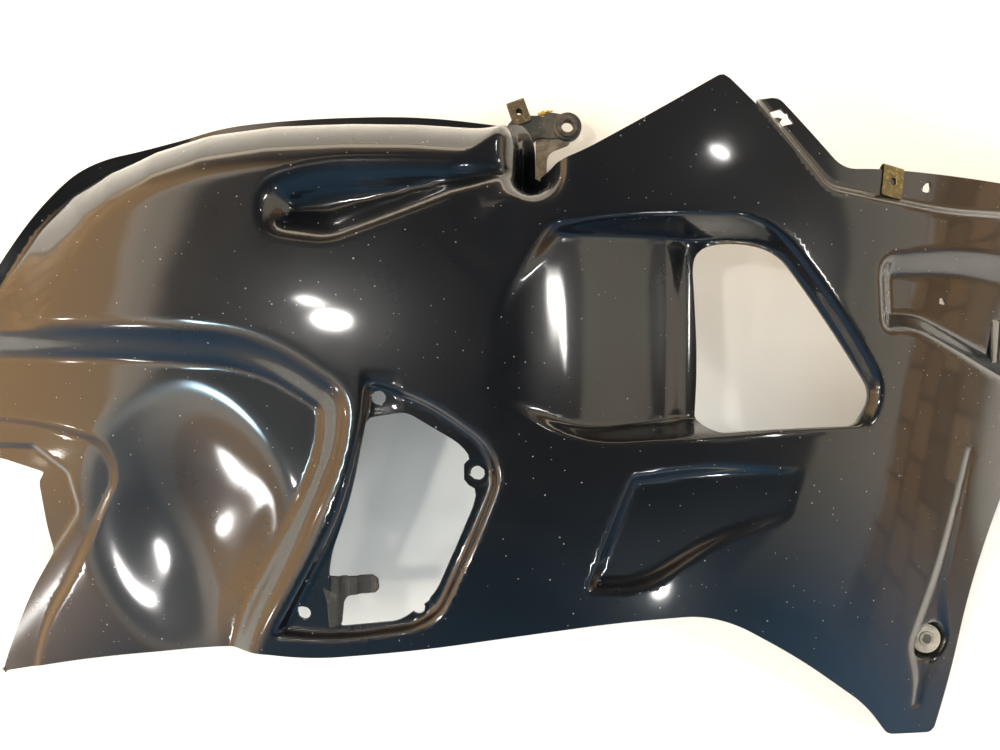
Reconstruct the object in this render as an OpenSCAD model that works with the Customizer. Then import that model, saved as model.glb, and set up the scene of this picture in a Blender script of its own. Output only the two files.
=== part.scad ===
// Side fairing of a motorcycle: one thin moulded panel lying on its back, with its clips and bushes.
// +X runs along the panel, +Y towards its upper edge and +Z out of its painted face.

/* [Moulding] */
// Thickness of the moulded wall
wall = 3; // [2:0.5:5]
// Height of the painted face over the floor, added to every station of the crown
lift = 0; // [-5:1:20]
// Spacing of the facets of the skin
facet = 20; // [18:1:40]

/* [Lobe] */
// Drop of the rolled outer wall of the upper left lobe
lobe_drop = 92; // [40:1:110]
// Width over which that wall rolls down
lobe_roll = 62; // [40:1:90]
// Width of the narrow lip outside it
lobe_lip = 9; // [5:1:14]
// Depth of the pocket between the lobe and the main face
lobe_pocket_depth = 24; // [8:1:32]
// Width of that pocket's sides
lobe_pocket_draft = 20; // [10:1:30]

/* [Wheel arch] */
// Step down at the arch
arch_step = 25; // [10:1:32]
// Width of that step
arch_draft = 30; // [20:1:45]
// Depth of the dished field under the step
dish_depth = 17; // [0:1:22]
// Step down at the joggled lower left edge
joggle = 4; // [2:0.5:8]

/* [Access opening] */
// Depth of the ledge round the access opening
ledge_depth = 8; // [4:1:14]
// Width of the ledge's sides
ledge_draft = 6; // [4:1:10]
// Diameter of the four screw bosses
boss_d = 26; // [20:1:32]
// Height of the four screw bosses
boss_h = 9; // [6:1:16]
// Bore of the four screw bosses
boss_bore = 11; // [5:0.5:14]
// Width of the level seat round each of those bores
boss_seat = 3; // [2:0.5:5]

/* [Vent] */
// Depth of the ramp at the through-hole
vent_depth = 52; // [20:1:60]
// Depth of the rim round the rest of the through-hole
vent_rim_depth = 15; // [6:1:24]
// Width of the vent's sides
vent_draft = 12; // [8:1:18]

/* [Scoop and right pocket] */
// Depth of the small scoop
scoop_depth = 11; // [4:1:18]
// Width of the scoop's sides
scoop_draft = 7; // [5:1:12]
// Depth of the right pocket
pocket_depth = 20; // [8:1:26]
// Width of the right pocket's sides
pocket_draft = 24; // [12:1:32]

/* [Upper right flange] */
// Step down to the flange and the tab
flange_step = 8; // [4:1:12]
// Width of that step
flange_draft = 6; // [4:1:10]
// Bore of the flange's screw hole
flange_bore = 8; // [5:0.5:10]

/* [Lower mount] */
// Diameter of the mounting cup
cup_d = 34; // [28:1:44]
// Depth of the mounting cup
cup_depth = 9; // [5:1:14]
// Outer diameter of the grommet
grommet_d = 26; // [20:1:30]
// Outer diameter of the sleeve
sleeve_d = 13; // [11:0.5:16]
// Bore of the sleeve
sleeve_bore = 8; // [5:0.5:10]

/* [Clips and bracket] */
// Thickness of the sheet of the clip nuts
clip_sheet = 1; // [0.6:0.1:1.6]
// Width of the flange's clip nut
clip_w = 19; // [14:1:24]
// Length of the flange's clip nut
clip_l = 26; // [20:1:34]
// Thickness of the bracket's arm
arm_t = 5; // [3:0.5:8]
// Diameter of the bracket's round ear
ear_d = 24; // [18:1:30]
// Bore of the bush in the ear
ear_bore = 11; // [6:0.5:13]

/* [Hidden] */
paint = [0.035, 0.04, 0.05];
black_steel = [0.13, 0.13, 0.12];
olive_zinc = [0.42, 0.39, 0.25];
pale_rubber = [0.66, 0.62, 0.54];
bright_steel = [0.62, 0.61, 0.58];
// Points nearer than this to a line count as on it
tiny = 0.4;
// Running clearance between pieces that are slid over each other
gap = 0.3;
// Length of a cutter that goes through every wall
through = 60;
// Middle of the panel's box, and the height of its lowest edge, in the frame of the crown
middle_x = 23.4;
middle_y = -37.8;
lowest = -9.1;

// Crown of the painted face: heights at stations along X (columns) and Y (rows, from the lower edge up)
crown_x0 = -480;
crown_y0 = -350;
crown_dx = 160;
crown_dy = 140;
crown = [
  [ 10,  32,  54,  68,  60,  22, -24],
  [ 24,  60,  86, 104, 104,  68, -14],
  [ 42,  92, 118, 131, 132, 100,   4],
  [ 44, 100, 126, 137, 137, 116,  24],
  [ 30,  84, 112, 122, 122, 108,  36],
  [  6,  56,  84,  96,  96,  86,  36]];

// Outlines: corners as [x, y, reach of the rounding]; a long reach makes a smooth curve
far = 400;
outline_pts = [[-455, -271, 3], [-358, -249, far], [-251, -233, far], [-207, -228, 24], [-153, -231, far],
  [-62, -219, far], [15, -205, far], [95, -193, far], [158, -189, far], [188, -198, far],
  [245, -232, far], [317, -286, far], [344, -319, 6], [394, -325, 8], [406, -268, far], [416, -200, far],
  [432, -146, far], [470, -60, far], [516, 60, far], [500, 164, 10], [300, 163, far], [268, 161, 12],
  [217, 217, 6], [200, 214, 0], [195, 209, 0], [172, 233, 6], [115, 199, far], [60, 168, far],
  [29, 157, 2], [29, 190, 14], [18, 217, 12], [-70, 230, far], [-180, 231, far], [-276, 226, far],
  [-366, 188, far], [-396, 145, far], [-425, 92, far], [-447, 52, 4], [-460, -20, far], [-464, -70, 3],
  [-437, -74, 6], [-395, -84, 2], [-401, -93, 2], [-396, -136, far], [-391, -156, 4], [-419, -195, far],
  [-445, -247, far]];
vent_hole_pts = [[156, 108, 30], [208, 103, 26], [250, 49, far], [297, -14, 16], [284, -40, 14],
  [220, -41, far], [159, -45, 14], [161, 10, far]];
opening_pts = [[-102, -33, 4], [-72, -28, 8], [-23, -57, 16], [-16, -90, far], [-52, -175, 14],
  [-80, -197, 8], [-132, -204, 6], [-137, -159, 8], [-133, -140, 8], [-116, -95, far]];

arch_pts = [[-640, 62, 0], [-440, 55, far], [-300, 53, far], [-180, 44, far], [-104, -8, 36],
  [-108, -60, far], [-150, -150, far], [-196, -226, far], [-230, -420, 0], [-640, -420, 0]];
ledge_pts = [[-102, -3, 8], [-86, -6, 14], [-50, -20, far], [-8, -50, 20], [2, -78, far],
  [-14, -120, far], [-50, -200, 26], [-130, -215, far], [-186, -213, 5], [-126, -106, far],
  [-108, -40, far]];
vent_pts = [[38, 116, 8], [110, 122, far], [206, 121, 34], [262, 52, far], [304, -8, 22], [294, -42, 14],
  [170, -46, far], [60, -54, 34], [-24, -14, 20], [-4, 60, far]];
scoop_pts = [[99, -76, 3], [165, -67, far], [235, -71, 6], [227, -112, 8], [172, -127, far],
  [112, -168, 30], [66, -168, 4], [86, -110, far]];
lobe_pocket_pts = [[-192, 152, 24], [-140, 170, far], [-40, 169, far], [6, 166, 10], [24, 156, 6],
  [-60, 122, far], [-132, 97, 14], [-190, 106, 28]];
pocket_pts = [[290, 98, 26], [370, 106, far], [440, 104, far], [496, 96, 20], [496, -28, 16], [426, -4, far],
  [330, 32, 22], [296, 28, 18]];
flange_pts = [[160, 262, 0], [176, 236, 0], [252, 142, 10], [300, 135, far], [360, 129, far], [640, 143, 0],
  [640, 262, 0]];
joggle_pts = [[-640, -28, 0], [-400, -36, far], [-330, -52, 30], [-318, -84, far], [-364, -170, far],
  [-404, -225, far], [-424, -300, 0], [-640, -300, 0]];
lobe_edge_pts = [[28, 157], [29, 190], [18, 217], [-24, 223], [-70, 227], [-125, 229], [-190, 229],
  [-250, 224], [-300, 212], [-345, 191], [-378, 166], [-404, 132], [-420, 102], [-440, 64]];

// Screw bosses of the access opening, the mounting cup and the flange's screw hole
boss_at = [[-93, -17.4], [-17, -75], [-65, -185], [-159, -193]];
boss_rise = 2.5;
cup_at = [380, -235];
cup_draft = 4;
grommet_lip = 4;
neck_d = grommet_d - 6;
bracket_boss_d = 10;
flange_boss_h = 5;
flange_boss_wall = 4;
flange_hole_at = [345, 151];
tab_hole_at = [214, 200];
tab_hole = [16, 10];
tab_turn = 48;
cutout_at = [441, 30];
cutout = [14, 38];
cup_floor_drop = cup_depth + 5;
lug = [[-146, -160], [-146, -172], [-136, -172], [-133, -192], [-124, -192], [-124, -180], [-119, -174],
  [-101, -173], [-96, -166], [-101, -158], [-125, -158]];
// The bracket: its drop below the face, its ear, its square end, its leg, its arm's outline and its boss
bracket_drop = 30;
ear_at = [60, 221];
square_at = [17, 234];
square_turn = 20;
square_w = 16;
square_l = 22;
leg_at = [37, 188];
leg = [10, 50];
arm_pts = [[8, 222], [14, 230], [33, 230], [54, 231], [62, 211], [46, 211], [32, 211], [24, 195],
  [6, 195], [6, 212]];
bracket_boss_at = [14, 202];
clip_at = [311, 153];

function squared(v) = v * v;
// Smooth step from 0 to 1
function ease(t) = let (u = max(0, min(1, t))) u * u * (3 - 2 * u);
// Quarter of a circle from 1 at the edge to 0 at the crown
function quarter(t) = let (u = max(0, min(1, 1 - t))) 1 - sqrt(1 - u * u);

// Closed curve through a list of corners, each rounded by a quadratic curve
function rounded(pts, steps = 4) = [
  for (i = [0:len(pts) - 1])
    let (b = [pts[i].x, pts[i].y], p = pts[(i + len(pts) - 1) % len(pts)], q = pts[(i + 1) % len(pts)],
      u = [p.x, p.y] - b, v = [q.x, q.y] - b,
      r = min(pts[i].z, norm(u) / 2, norm(v) / 2),
      s = b + u * r / norm(u), e = b + v * r / norm(v))
    each r == 0 ? [b] : [for (k = [0:steps])
      let (t = k / steps) (1 - t) ^ 2 * s + 2 * t * (1 - t) * b + t ^ 2 * e]];

// A region is its closed curve and the box round it
function region(pts, steps = 4) = let (o = rounded(pts, steps), c = concat(o, [o[0]])) [c,
  [min([for (p = c) p.x]), min([for (p = c) p.y])], [max([for (p = c) p.x]), max([for (p = c) p.y])]];

outline = region(outline_pts, 3);
vent_hole = region(vent_hole_pts);
opening = region(opening_pts);
arch = region(arch_pts);
ledge = region(ledge_pts);
vent = region(vent_pts);
scoop = region(scoop_pts);
lobe_pocket = region(lobe_pocket_pts);
pocket = region(pocket_pts);
flange = region(flange_pts, 2);
joggled = region(joggle_pts, 3);
cup = region([for (a = [0:22.5:337.5]) [cup_at.x + cup_d / 2 * cos(a), cup_at.y + cup_d / 2 * sin(a), 0]]);

// Nearest point to p on a run of points
function on_segment(p, a, b) = let (d = b - a, t = max(0, min(1, ((p - a) * d) / max(d * d, 1e-9))))
  a + t * d;
function nearest(p, c) = let (
    q = [for (i = [1:len(c) - 1]) on_segment(p, c[i - 1], c[i])],
    d = [for (s = q) (s - p) * (s - p)]) q[search(min(d), d)[0]];
function near_d(p, c) = sqrt(min([for (i = [1:len(c) - 1])
    let (a = c[i - 1], d = c[i] - a, e = p - a, t = max(0, min(1, (e * d) / max(d * d, 1e-9))), q = e - t * d)
      q * q]));
// Distance from p to a region's edge, positive inside; -99 stands for far outside
function crossings(p, c) = [for (i = [1:len(c) - 1]) let (a = c[i - 1], b = c[i])
    if ((a.y > p.y) != (b.y > p.y) && p.x < (b.x - a.x) * (p.y - a.y) / (b.y - a.y) + a.x) 1];
function outside_box(p, r, m) = p.x < r[1].x - m || p.y < r[1].y - m || p.x > r[2].x + m || p.y > r[2].y + m;
function inside(p, r) = !outside_box(p, r, 0) && len(crossings(p, r[0])) % 2 == 1;
function depth_in(p, r, m = 0) = outside_box(p, r, m) ? -99 : (inside(p, r) ? 1 : -1) * near_d(p, r[0]);

// Cubic B-spline weights at t, and the crown's height at a point; stations run on straight past the ends
function weights(t) = [(1 - t) ^ 3, 3 * t ^ 3 - 6 * t ^ 2 + 4, -3 * t ^ 3 + 3 * t ^ 2 + 3 * t + 1, t ^ 3] / 6;
function run_on(v, i) = i < 0 ? 2 * v[0] - v[-i] :
  i >= len(v) ? 2 * v[len(v) - 1] - v[2 * len(v) - 2 - i] : v[i];
crown_rows = [for (j = [-1:len(crown)]) let (row = [for (i = [-1:len(crown[0])])
    run_on([for (r = crown) run_on(r, i)], j)]) row];
function crown_z(p) = let (
    u = (p.x - crown_x0) / crown_dx, v = (p.y - crown_y0) / crown_dy,
    i = max(0, min(len(crown[0]) - 2, floor(u))), j = max(0, min(len(crown) - 2, floor(v))),
    a = weights(u - i), b = weights(v - j))
  b * [for (m = [0:3]) a * [for (k = [0:3]) crown_rows[j + m][i + k]]];

// Drops of the painted face below its crown
function arch_drop(p) = let (d = depth_in(p, arch)) d <= 0 ? 0 :
  arch_step * ease(d / arch_draft) +
  dish_depth * squared(max(0, 1 - squared((p.x + 262) / 105) - squared((p.y + 125) / 130))) * ease(d / 60);
function joggle_drop(p) = let (d = depth_in(p, joggled)) d <= 0 ? 0 : joggle * ease(d / 8);
function ledge_drop(p) = let (d = depth_in(p, ledge)) d <= 0 ? 0 : ledge_depth * ease(d / ledge_draft);
function vent_drop(p) = let (d = depth_in(p, vent)) d <= 0 ? 0 :
  (vent_depth * ease((p.x + 10) / 170) - (vent_depth - vent_rim_depth) * ease((p.x - 160) / 60))
    * ease(d / vent_draft);
function scoop_drop(p) = let (d = depth_in(p, scoop)) d <= 0 ? 0 :
  scoop_depth * ease((250 - p.x) / 150) * ease(d / scoop_draft);
function lobe_pocket_drop(p) = let (d = depth_in(p, lobe_pocket)) d <= 0 ? 0 :
  lobe_pocket_depth * ease(d / lobe_pocket_draft);
function pocket_drop(p) = let (d = depth_in(p, pocket)) d <= 0 ? 0 : pocket_depth * ease(d / pocket_draft);
function flange_drop(p) = let (d = depth_in(p, flange)) d <= 0 ? 0 : flange_step * ease(d / flange_draft);
cup_z = crown_z(cup_at) - cup_floor_drop;
function cup_drop(p) = let (d = depth_in(p, cup)) d <= 0 ? 0 : (crown_z(p) - cup_z) * ease(d / cup_draft);
function lobe_edge_d(p) = p.y < 40 ? 99 : near_d(p, lobe_edge_pts);
function lobe_roll_drop(p) = let (d = lobe_edge_d(p)) d > lobe_roll + lobe_lip ? 0 :
  lobe_drop * ease((p.x + 450) / 170) * ease((60 - p.x) / 60) * quarter((d - lobe_lip) / lobe_roll) * 0.98;
function face_z(p) = lift + crown_z(p) - arch_drop(p) - joggle_drop(p) - ledge_drop(p) - vent_drop(p)
  - scoop_drop(p) - lobe_pocket_drop(p) - pocket_drop(p) - flange_drop(p) - cup_drop(p) - lobe_roll_drop(p);

// Edges that trim the skin, and lines that its facets follow
trims = [outline, vent_hole, opening];
folds = [arch, ledge, vent, scoop, lobe_pocket, pocket, flange, joggled, cup];
sharp = [for (s = [[outline_pts, outline], [scoop_pts, scoop], [ledge_pts, ledge]])
  for (q = s[0]) if (q.z <= 6) nearest([q.x, q.y], s[1][0])];

// Move a grid point onto a corner, or onto an edge that passes close by
function pulled(p) = let (c = [for (q = sharp)
    if (abs(q.x - p.x) <= facet / 2 && abs(q.y - p.y) <= facet / 2) q])
  len(c) > 0 ? c[0] :
  let (q = [for (r = concat(trims, folds)) if (abs(depth_in(p, r, facet)) < facet * 0.33) nearest(p, r[0])])
  len(q) > 0 ? q[0] : p;

// Point where an edge crosses a line, the same from both of its sides
function before(a, b) = a.x < b.x || (a.x == b.x && a.y < b.y);
function crossing(a, b, fa, fb) = before(a, b) ? a + (b - a) * fa / (fa - fb) : b + (a - b) * fb / (fb - fa);
function clean_value(v) = abs(v) < tiny ? 0 : v;
// Split the facets along the line at a distance w inside a region's edge
function box_apart(t, r) = max(t[0].x, t[1].x, t[2].x) < r[1].x || max(t[0].y, t[1].y, t[2].y) < r[1].y
  || min(t[0].x, t[1].x, t[2].x) > r[2].x || min(t[0].y, t[1].y, t[2].y) > r[2].y;
function split_one(t, f) = let (
    zero = search(0, f),
    k = len(zero) > 0 ? zero[0] : f[0] * f[1] < 0 ? (f[0] * f[2] < 0 ? 0 : 1) : 2,
    a = t[k], b = t[(k + 1) % 3], c = t[(k + 2) % 3],
    fa = f[k], fb = f[(k + 1) % 3], fc = f[(k + 2) % 3])
  len(zero) > 0 ? let (m = crossing(b, c, fb, fc)) [[a, b, m], [a, m, c]] :
    let (m = crossing(a, b, fa, fb), n = crossing(a, c, fa, fc)) [[a, m, n], [m, b, c], [m, c, n]];
function split(facets, r, w) = [for (t = facets)
  each box_apart(t, r) ? [t] :
    let (f = [for (p = t) clean_value(depth_in(p, r, 2 * facet) - w)])
    min(f) >= 0 || max(f) <= 0 ? [t] : split_one(t, f)];
function split_all(facets, lines, k = 0) = k == len(lines) ? facets :
  split_all(split(facets, lines[k][0], lines[k][1]), lines, k + 1);

function middle(t) = (t[0] + t[1] + t[2]) / 3;
arm_top = face_z(bracket_boss_at) - bracket_drop;
function kept(t) = let (m = middle(t)) inside(m, outline) && !inside(m, vent_hole) && !inside(m, opening);
// The skin: painted face, underside one wall below it along the surface's normal, and a closed rim
function slope(p, z) = let (e = 1.5) norm([face_z(p + [e, 0]) - z, face_z(p + [0, e]) - z]) / e;
module skin() {
  columns = ceil(1010 / facet);
  rows = ceil(600 / facet);
  grid = [for (i = [0:columns]) [for (j = [0:rows]) pulled([-485 + i * facet, -335 + j * facet])]];
  squares = [for (i = [0:columns - 1]) for (j = [0:rows - 1])
    let (a = grid[i][j], b = grid[i + 1][j], c = grid[i + 1][j + 1], d = grid[i][j + 1])
    each (i + j) % 2 == 0 ? [[a, b, c], [a, c, d]] : [[a, b, d], [b, c, d]]];
  trimmed = [for (t = split_all(squares, [for (r = trims) [r, 0]])) if (kept(t)) t];
  skin_facets = split_all(trimmed, [[arch, 0], [arch, arch_draft], [ledge, 0], [vent, 0], [vent, vent_draft],
    [scoop, 0], [scoop, scoop_draft], [lobe_pocket, 0], [lobe_pocket, lobe_pocket_draft], [pocket, 0],
    [pocket, pocket_draft], [flange, 0], [flange, flange_draft], [joggled, 0], [cup, 0], [cup, cup_draft]]);

  // Every corner once: its place in the list of all corners, then the list of the places that are first
  corners = [for (t = skin_facets) each t];
  keys = [for (p = corners) p.x * 1713.7 + p.y];
  first = search(keys, keys);
  used = [for (i = [0:len(first) - 1]) if (first[i] == i) i];
  index = search(first, used);
  count = len(used);
  faces = [for (i = [0:len(skin_facets) - 1])
    let (a = index[3 * i], b = index[3 * i + 1], c = index[3 * i + 2])
    if (a != b && b != c && a != c) [a, b, c]];
  // Edges that only one facet has are the skin's free edges
  edges = [for (f = faces) each [f[0] * count + f[1], f[1] * count + f[2], f[2] * count + f[0]]];
  turned = [for (e = edges) (e % count) * count + floor(e / count)];
  partner = search(turned, edges);
  free_edges = [for (i = [0:len(edges) - 1]) if (partner[i] == []) edges[i]];
  tops = [for (i = used) let (p = corners[i]) [p.x, p.y, face_z(p)]];
  unders = [for (q = tops) let (s = slope([q.x, q.y], q.z)) [q.x, q.y, q.z - wall * sqrt(1 + min(s * s, 5))]];
  rims = [for (e = free_edges) let (a = floor(e / count), b = e % count)
    each [[a, b, b + count], [a, b + count, a + count]]];
  polyhedron(points = concat(tops, unders), faces = concat(
    [for (f = faces) [f[0], f[2], f[1]]], [for (f = faces) f + [count, count, count]], rims));
}

// Slopes of the face along X and Y at a point, and a frame that sits on the face there
function slope_x(p) = (face_z(p + [3, 0]) - face_z(p - [3, 0])) / 6;
function slope_y(p) = (face_z(p + [0, 3]) - face_z(p - [0, 3])) / 6;
module on_face(p) {
  translate([p.x, p.y, face_z(p)]) rotate([atan(slope_y(p)), -atan(slope_x(p)), 0]) children();
}

module fairing_panel() {
  color(paint) difference() {
    union() {
      skin();
      for (b = boss_at) translate([b.x, b.y, face_z(b) - boss_h])
        cylinder(d = boss_d, h = boss_h + boss_rise, $fn = 48);
      translate([bracket_boss_at.x, bracket_boss_at.y, arm_top])
        cylinder(d = bracket_boss_d, h = bracket_drop + wall, $fn = 32);
      on_face(flange_hole_at) translate([0, 0, -flange_boss_h])
        cylinder(d = flange_bore + 2 * flange_boss_wall, h = flange_boss_h, $fn = 32);
      translate([0, 0, face_z([-142, -166]) - 2 * wall]) linear_extrude(wall * 1.5) polygon(lug);
    }
    for (b = boss_at) {
      translate([b.x, b.y, face_z(b)]) cylinder(d = boss_bore + 2 * boss_seat, h = through / 2, $fn = 48);
      translate([b.x, b.y, face_z(b) - through / 2]) cylinder(d = boss_bore, h = through, $fn = 48);
    }
    on_face(flange_hole_at) translate([0, 0, -through / 2]) cylinder(d = flange_bore, h = through, $fn = 32);
    translate([cup_at.x, cup_at.y, cup_z - through / 2]) cylinder(d = neck_d, h = through, $fn = 48);
    translate([tab_hole_at.x, tab_hole_at.y, face_z(tab_hole_at)]) rotate(-tab_turn)
      cube([tab_hole.x, tab_hole.y, through], center = true);
    translate([cutout_at.x, cutout_at.y, face_z(cutout_at)])
      cube([cutout.x, cutout.y, through], center = true);
  }
}

// A clip nut: a strip of sheet folded over an edge of thickness t, with a collar under its bore
module clip_nut(w, l, t, bore) {
  s = clip_sheet;
  difference() {
    union() {
      translate([-w / 2, -l / 2, gap]) cube([w, l, s]);
      translate([-w / 2, l / 2 - s, -t - gap - s]) cube([w, s, t + 2 * gap + 2 * s]);
      translate([-w / 2, -l * 0.38, -t - gap - s]) cube([w, l * 0.88, s]);
      translate([0, 0, -t - gap - s - 4]) cylinder(d = bore + 5, h = 4.5, $fn = 32);
    }
    translate([0, 0, -through / 2]) cylinder(d = bore, h = through, $fn = 32);
  }
}

module flange_clip_nut() {
  color(olive_zinc) on_face(clip_at) clip_nut(clip_w, clip_l, wall, 4);
}

module top_bracket() {
  color(black_steel) difference() {
    translate([0, 0, arm_top - arm_t]) union() {
      linear_extrude(arm_t) {
        polygon(arm_pts);
        translate(leg_at) square(leg, center = true);
        translate(square_at) rotate(square_turn) translate([-square_w / 2, -square_l / 2])
          square([square_w, square_l - clip_sheet - gap]);
      }
      translate([ear_at.x, ear_at.y, -1.5]) cylinder(d = ear_d, h = arm_t + 3, $fn = 48);
    }
    translate([ear_at.x, ear_at.y, arm_top - through / 2]) cylinder(d = ear_d - 6, h = through, $fn = 48);
    translate([square_at.x, square_at.y, arm_top - through / 2]) cylinder(d = 7, h = through, $fn = 32);
  }
}

module bracket_clip_nut() {
  color(black_steel) translate([square_at.x, square_at.y, arm_top]) rotate(square_turn)
    clip_nut(square_w, square_l, arm_t, 4);
}

module ear_bush() {
  color(black_steel) translate([ear_at.x, ear_at.y, arm_top - arm_t - 2.5]) difference() {
    cylinder(d = ear_d - 6, h = arm_t + 5, $fn = 48);
    translate([0, 0, -through / 2]) cylinder(d = ear_bore, h = through, $fn = 48);
  }
}

// Grommet with a groove that the cup's floor fits, and the sleeve inside it
module mount_grommet() {
  color(pale_rubber) translate([cup_at.x, cup_at.y, cup_z]) difference() {
    union() {
      cylinder(d = grommet_d, h = grommet_lip, $fn = 64);
      translate([0, 0, -wall]) cylinder(d = neck_d, h = wall, $fn = 48);
      translate([0, 0, -wall - grommet_lip]) cylinder(d = grommet_d, h = grommet_lip, $fn = 64);
    }
    translate([0, 0, -through / 2]) cylinder(d = sleeve_d, h = through, $fn = 48);
  }
}

module mount_sleeve() {
  color(bright_steel) translate([cup_at.x, cup_at.y, cup_z - wall - grommet_lip]) difference() {
    cylinder(d = sleeve_d, h = wall + 2 * grommet_lip + 1, $fn = 48);
    translate([0, 0, -through / 2]) cylinder(d = sleeve_bore, h = through, $fn = 48);
  }
}

// Small plate against the side of the pocket's cut-out, and the two screws in it
plate_t = 2;
plate_x = cutout_at.x - cutout.x / 2;
module pocket_bracket() {
  color(black_steel) translate([plate_x, cutout_at.y - cutout.y / 2, face_z(cutout_at) - 9])
    cube([plate_t, cutout.y, 14]);
}

module pocket_screws() {
  color(bright_steel) for (y = [-10, 10])
    translate([plate_x + plate_t, cutout_at.y + y, face_z(cutout_at) - 2]) rotate([0, 90, 0]) union() {
      cylinder(d = 7, h = 3, $fn = 32);
      cylinder(d = 4, h = 7, $fn = 32);
    }
}

module placed() {
  translate([-middle_x, -middle_y, -lowest]) children();
}

placed() fairing_panel();
placed() flange_clip_nut();
placed() top_bracket();
placed() bracket_clip_nut();
placed() ear_bush();
placed() mount_grommet();
placed() mount_sleeve();
placed() pocket_bracket();
placed() pocket_screws();
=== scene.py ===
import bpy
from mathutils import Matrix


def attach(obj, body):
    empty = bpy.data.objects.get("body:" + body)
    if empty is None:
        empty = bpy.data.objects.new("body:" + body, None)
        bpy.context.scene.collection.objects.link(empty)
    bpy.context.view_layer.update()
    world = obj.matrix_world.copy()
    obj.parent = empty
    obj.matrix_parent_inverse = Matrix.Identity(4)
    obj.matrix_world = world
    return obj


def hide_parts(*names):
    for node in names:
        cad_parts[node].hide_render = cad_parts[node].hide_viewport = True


bl_info = {
    "name": "Motorcycle side fairing",
    "version": (1, 0),
    "blender": (4, 5, 0),
    "location": "3D View > Sidebar > Fairing",
    "description": "Dresses the frame of a glossy black side fairing lying on a pale table",
    "category": "Object",
}

import bpy
import numpy as np
from bpy.props import FloatProperty, FloatVectorProperty, PointerProperty
from mathutils import Vector

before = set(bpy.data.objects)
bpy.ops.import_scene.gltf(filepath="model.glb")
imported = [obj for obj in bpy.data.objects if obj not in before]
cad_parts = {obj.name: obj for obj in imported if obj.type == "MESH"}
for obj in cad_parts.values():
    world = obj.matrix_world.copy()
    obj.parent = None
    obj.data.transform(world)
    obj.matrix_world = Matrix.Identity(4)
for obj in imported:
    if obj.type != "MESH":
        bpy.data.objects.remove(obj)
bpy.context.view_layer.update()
MM = 0.001

# The crown's frame: its origin in the row frame, so that every outline keeps its own round numbers, in mm
MIDDLE_X = 23.4
MIDDLE_Y = -37.8
LOWEST = -9.1

# Crown of the painted face: heights at stations along X (columns) and Y (rows, from the lower edge up), in mm
CROWN_X0, CROWN_Y0, CROWN_DX, CROWN_DY = -480, -350, 160, 140
CROWN = np.array([
    [10, 32, 54, 68, 60, 22, -24],
    [24, 60, 86, 104, 104, 68, -14],
    [42, 92, 118, 131, 132, 100, 4],
    [44, 100, 126, 137, 137, 116, 24],
    [30, 84, 112, 122, 122, 108, 36],
    [6, 56, 84, 96, 96, 86, 36]], float)

# The fine map of the face: its ends along X and Y and its spacing, in mm
MAP_X, MAP_Y, MAP_STEP = (-500, 546), (-346, 276), 1.5

# Outlines: corners as (x, y, reach of the rounding) in mm; a long reach makes a smooth curve
FAR = 400
OUTLINE = [(-455, -271, 3), (-358, -249, FAR), (-251, -233, FAR), (-207, -228, 24), (-153, -231, FAR),
           (-62, -219, FAR), (15, -205, FAR), (95, -193, FAR), (158, -189, FAR), (188, -198, FAR),
           (245, -232, FAR), (317, -286, FAR), (344, -319, 6), (394, -325, 8), (406, -268, FAR),
           (416, -200, FAR), (432, -146, FAR), (470, -60, FAR), (516, 60, FAR), (500, 164, 10),
           (300, 163, FAR), (268, 161, 12), (217, 217, 6), (200, 214, 0), (195, 209, 0), (172, 233, 6),
           (115, 199, FAR), (60, 168, FAR), (29, 157, 2), (29, 190, 14), (18, 217, 12), (-70, 230, FAR),
           (-180, 231, FAR), (-276, 226, FAR), (-366, 188, FAR), (-396, 145, FAR), (-425, 92, FAR),
           (-447, 52, 4), (-460, -20, FAR), (-464, -70, 3), (-437, -74, 6), (-395, -84, 2), (-401, -93, 2),
           (-396, -136, FAR), (-391, -156, 4), (-419, -195, FAR), (-445, -247, FAR)]
VENT_HOLE = [(156, 108, 30), (208, 103, 26), (250, 49, FAR), (297, -14, 16), (284, -40, 14), (220, -41, FAR),
             (159, -45, 14), (161, 10, FAR)]
OPENING = [(-102, -33, 4), (-72, -28, 8), (-23, -57, 16), (-16, -90, FAR), (-52, -175, 14), (-80, -197, 8),
           (-132, -204, 6), (-137, -159, 8), (-133, -140, 8), (-116, -95, FAR)]
ARCH = [(-640, 62, 0), (-440, 55, FAR), (-300, 53, FAR), (-180, 44, FAR), (-104, -8, 36), (-108, -60, FAR),
        (-150, -150, FAR), (-196, -226, FAR), (-230, -420, 0), (-640, -420, 0)]
LEDGE = [(-102, -3, 8), (-86, -6, 14), (-50, -20, FAR), (-8, -50, 20), (2, -78, FAR), (-14, -120, FAR),
         (-50, -200, 26), (-130, -215, FAR), (-186, -213, 5), (-126, -106, FAR), (-108, -40, FAR)]
VENT = [(38, 116, 8), (110, 122, FAR), (206, 121, 34), (262, 52, FAR), (304, -8, 22), (294, -42, 14),
        (170, -46, FAR), (60, -54, 34), (-24, -14, 20), (-4, 60, FAR)]
SCOOP = [(99, -76, 3), (165, -67, FAR), (235, -71, 6), (227, -112, 8), (172, -127, FAR), (112, -168, 30),
         (66, -168, 4), (86, -110, FAR)]
LOBE_POCKET = [(-192, 152, 24), (-140, 170, FAR), (-40, 169, FAR), (6, 166, 10), (24, 156, 6),
               (-60, 122, FAR), (-132, 97, 14), (-190, 106, 28)]
POCKET = [(290, 98, 26), (370, 106, FAR), (440, 104, FAR), (496, 96, 20), (496, -28, 16), (426, -4, FAR),
          (330, 32, 22), (296, 28, 18)]
FLANGE = [(160, 262, 0), (176, 236, 0), (252, 142, 10), (300, 135, FAR), (360, 129, FAR), (640, 143, 0),
          (640, 262, 0)]
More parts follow.
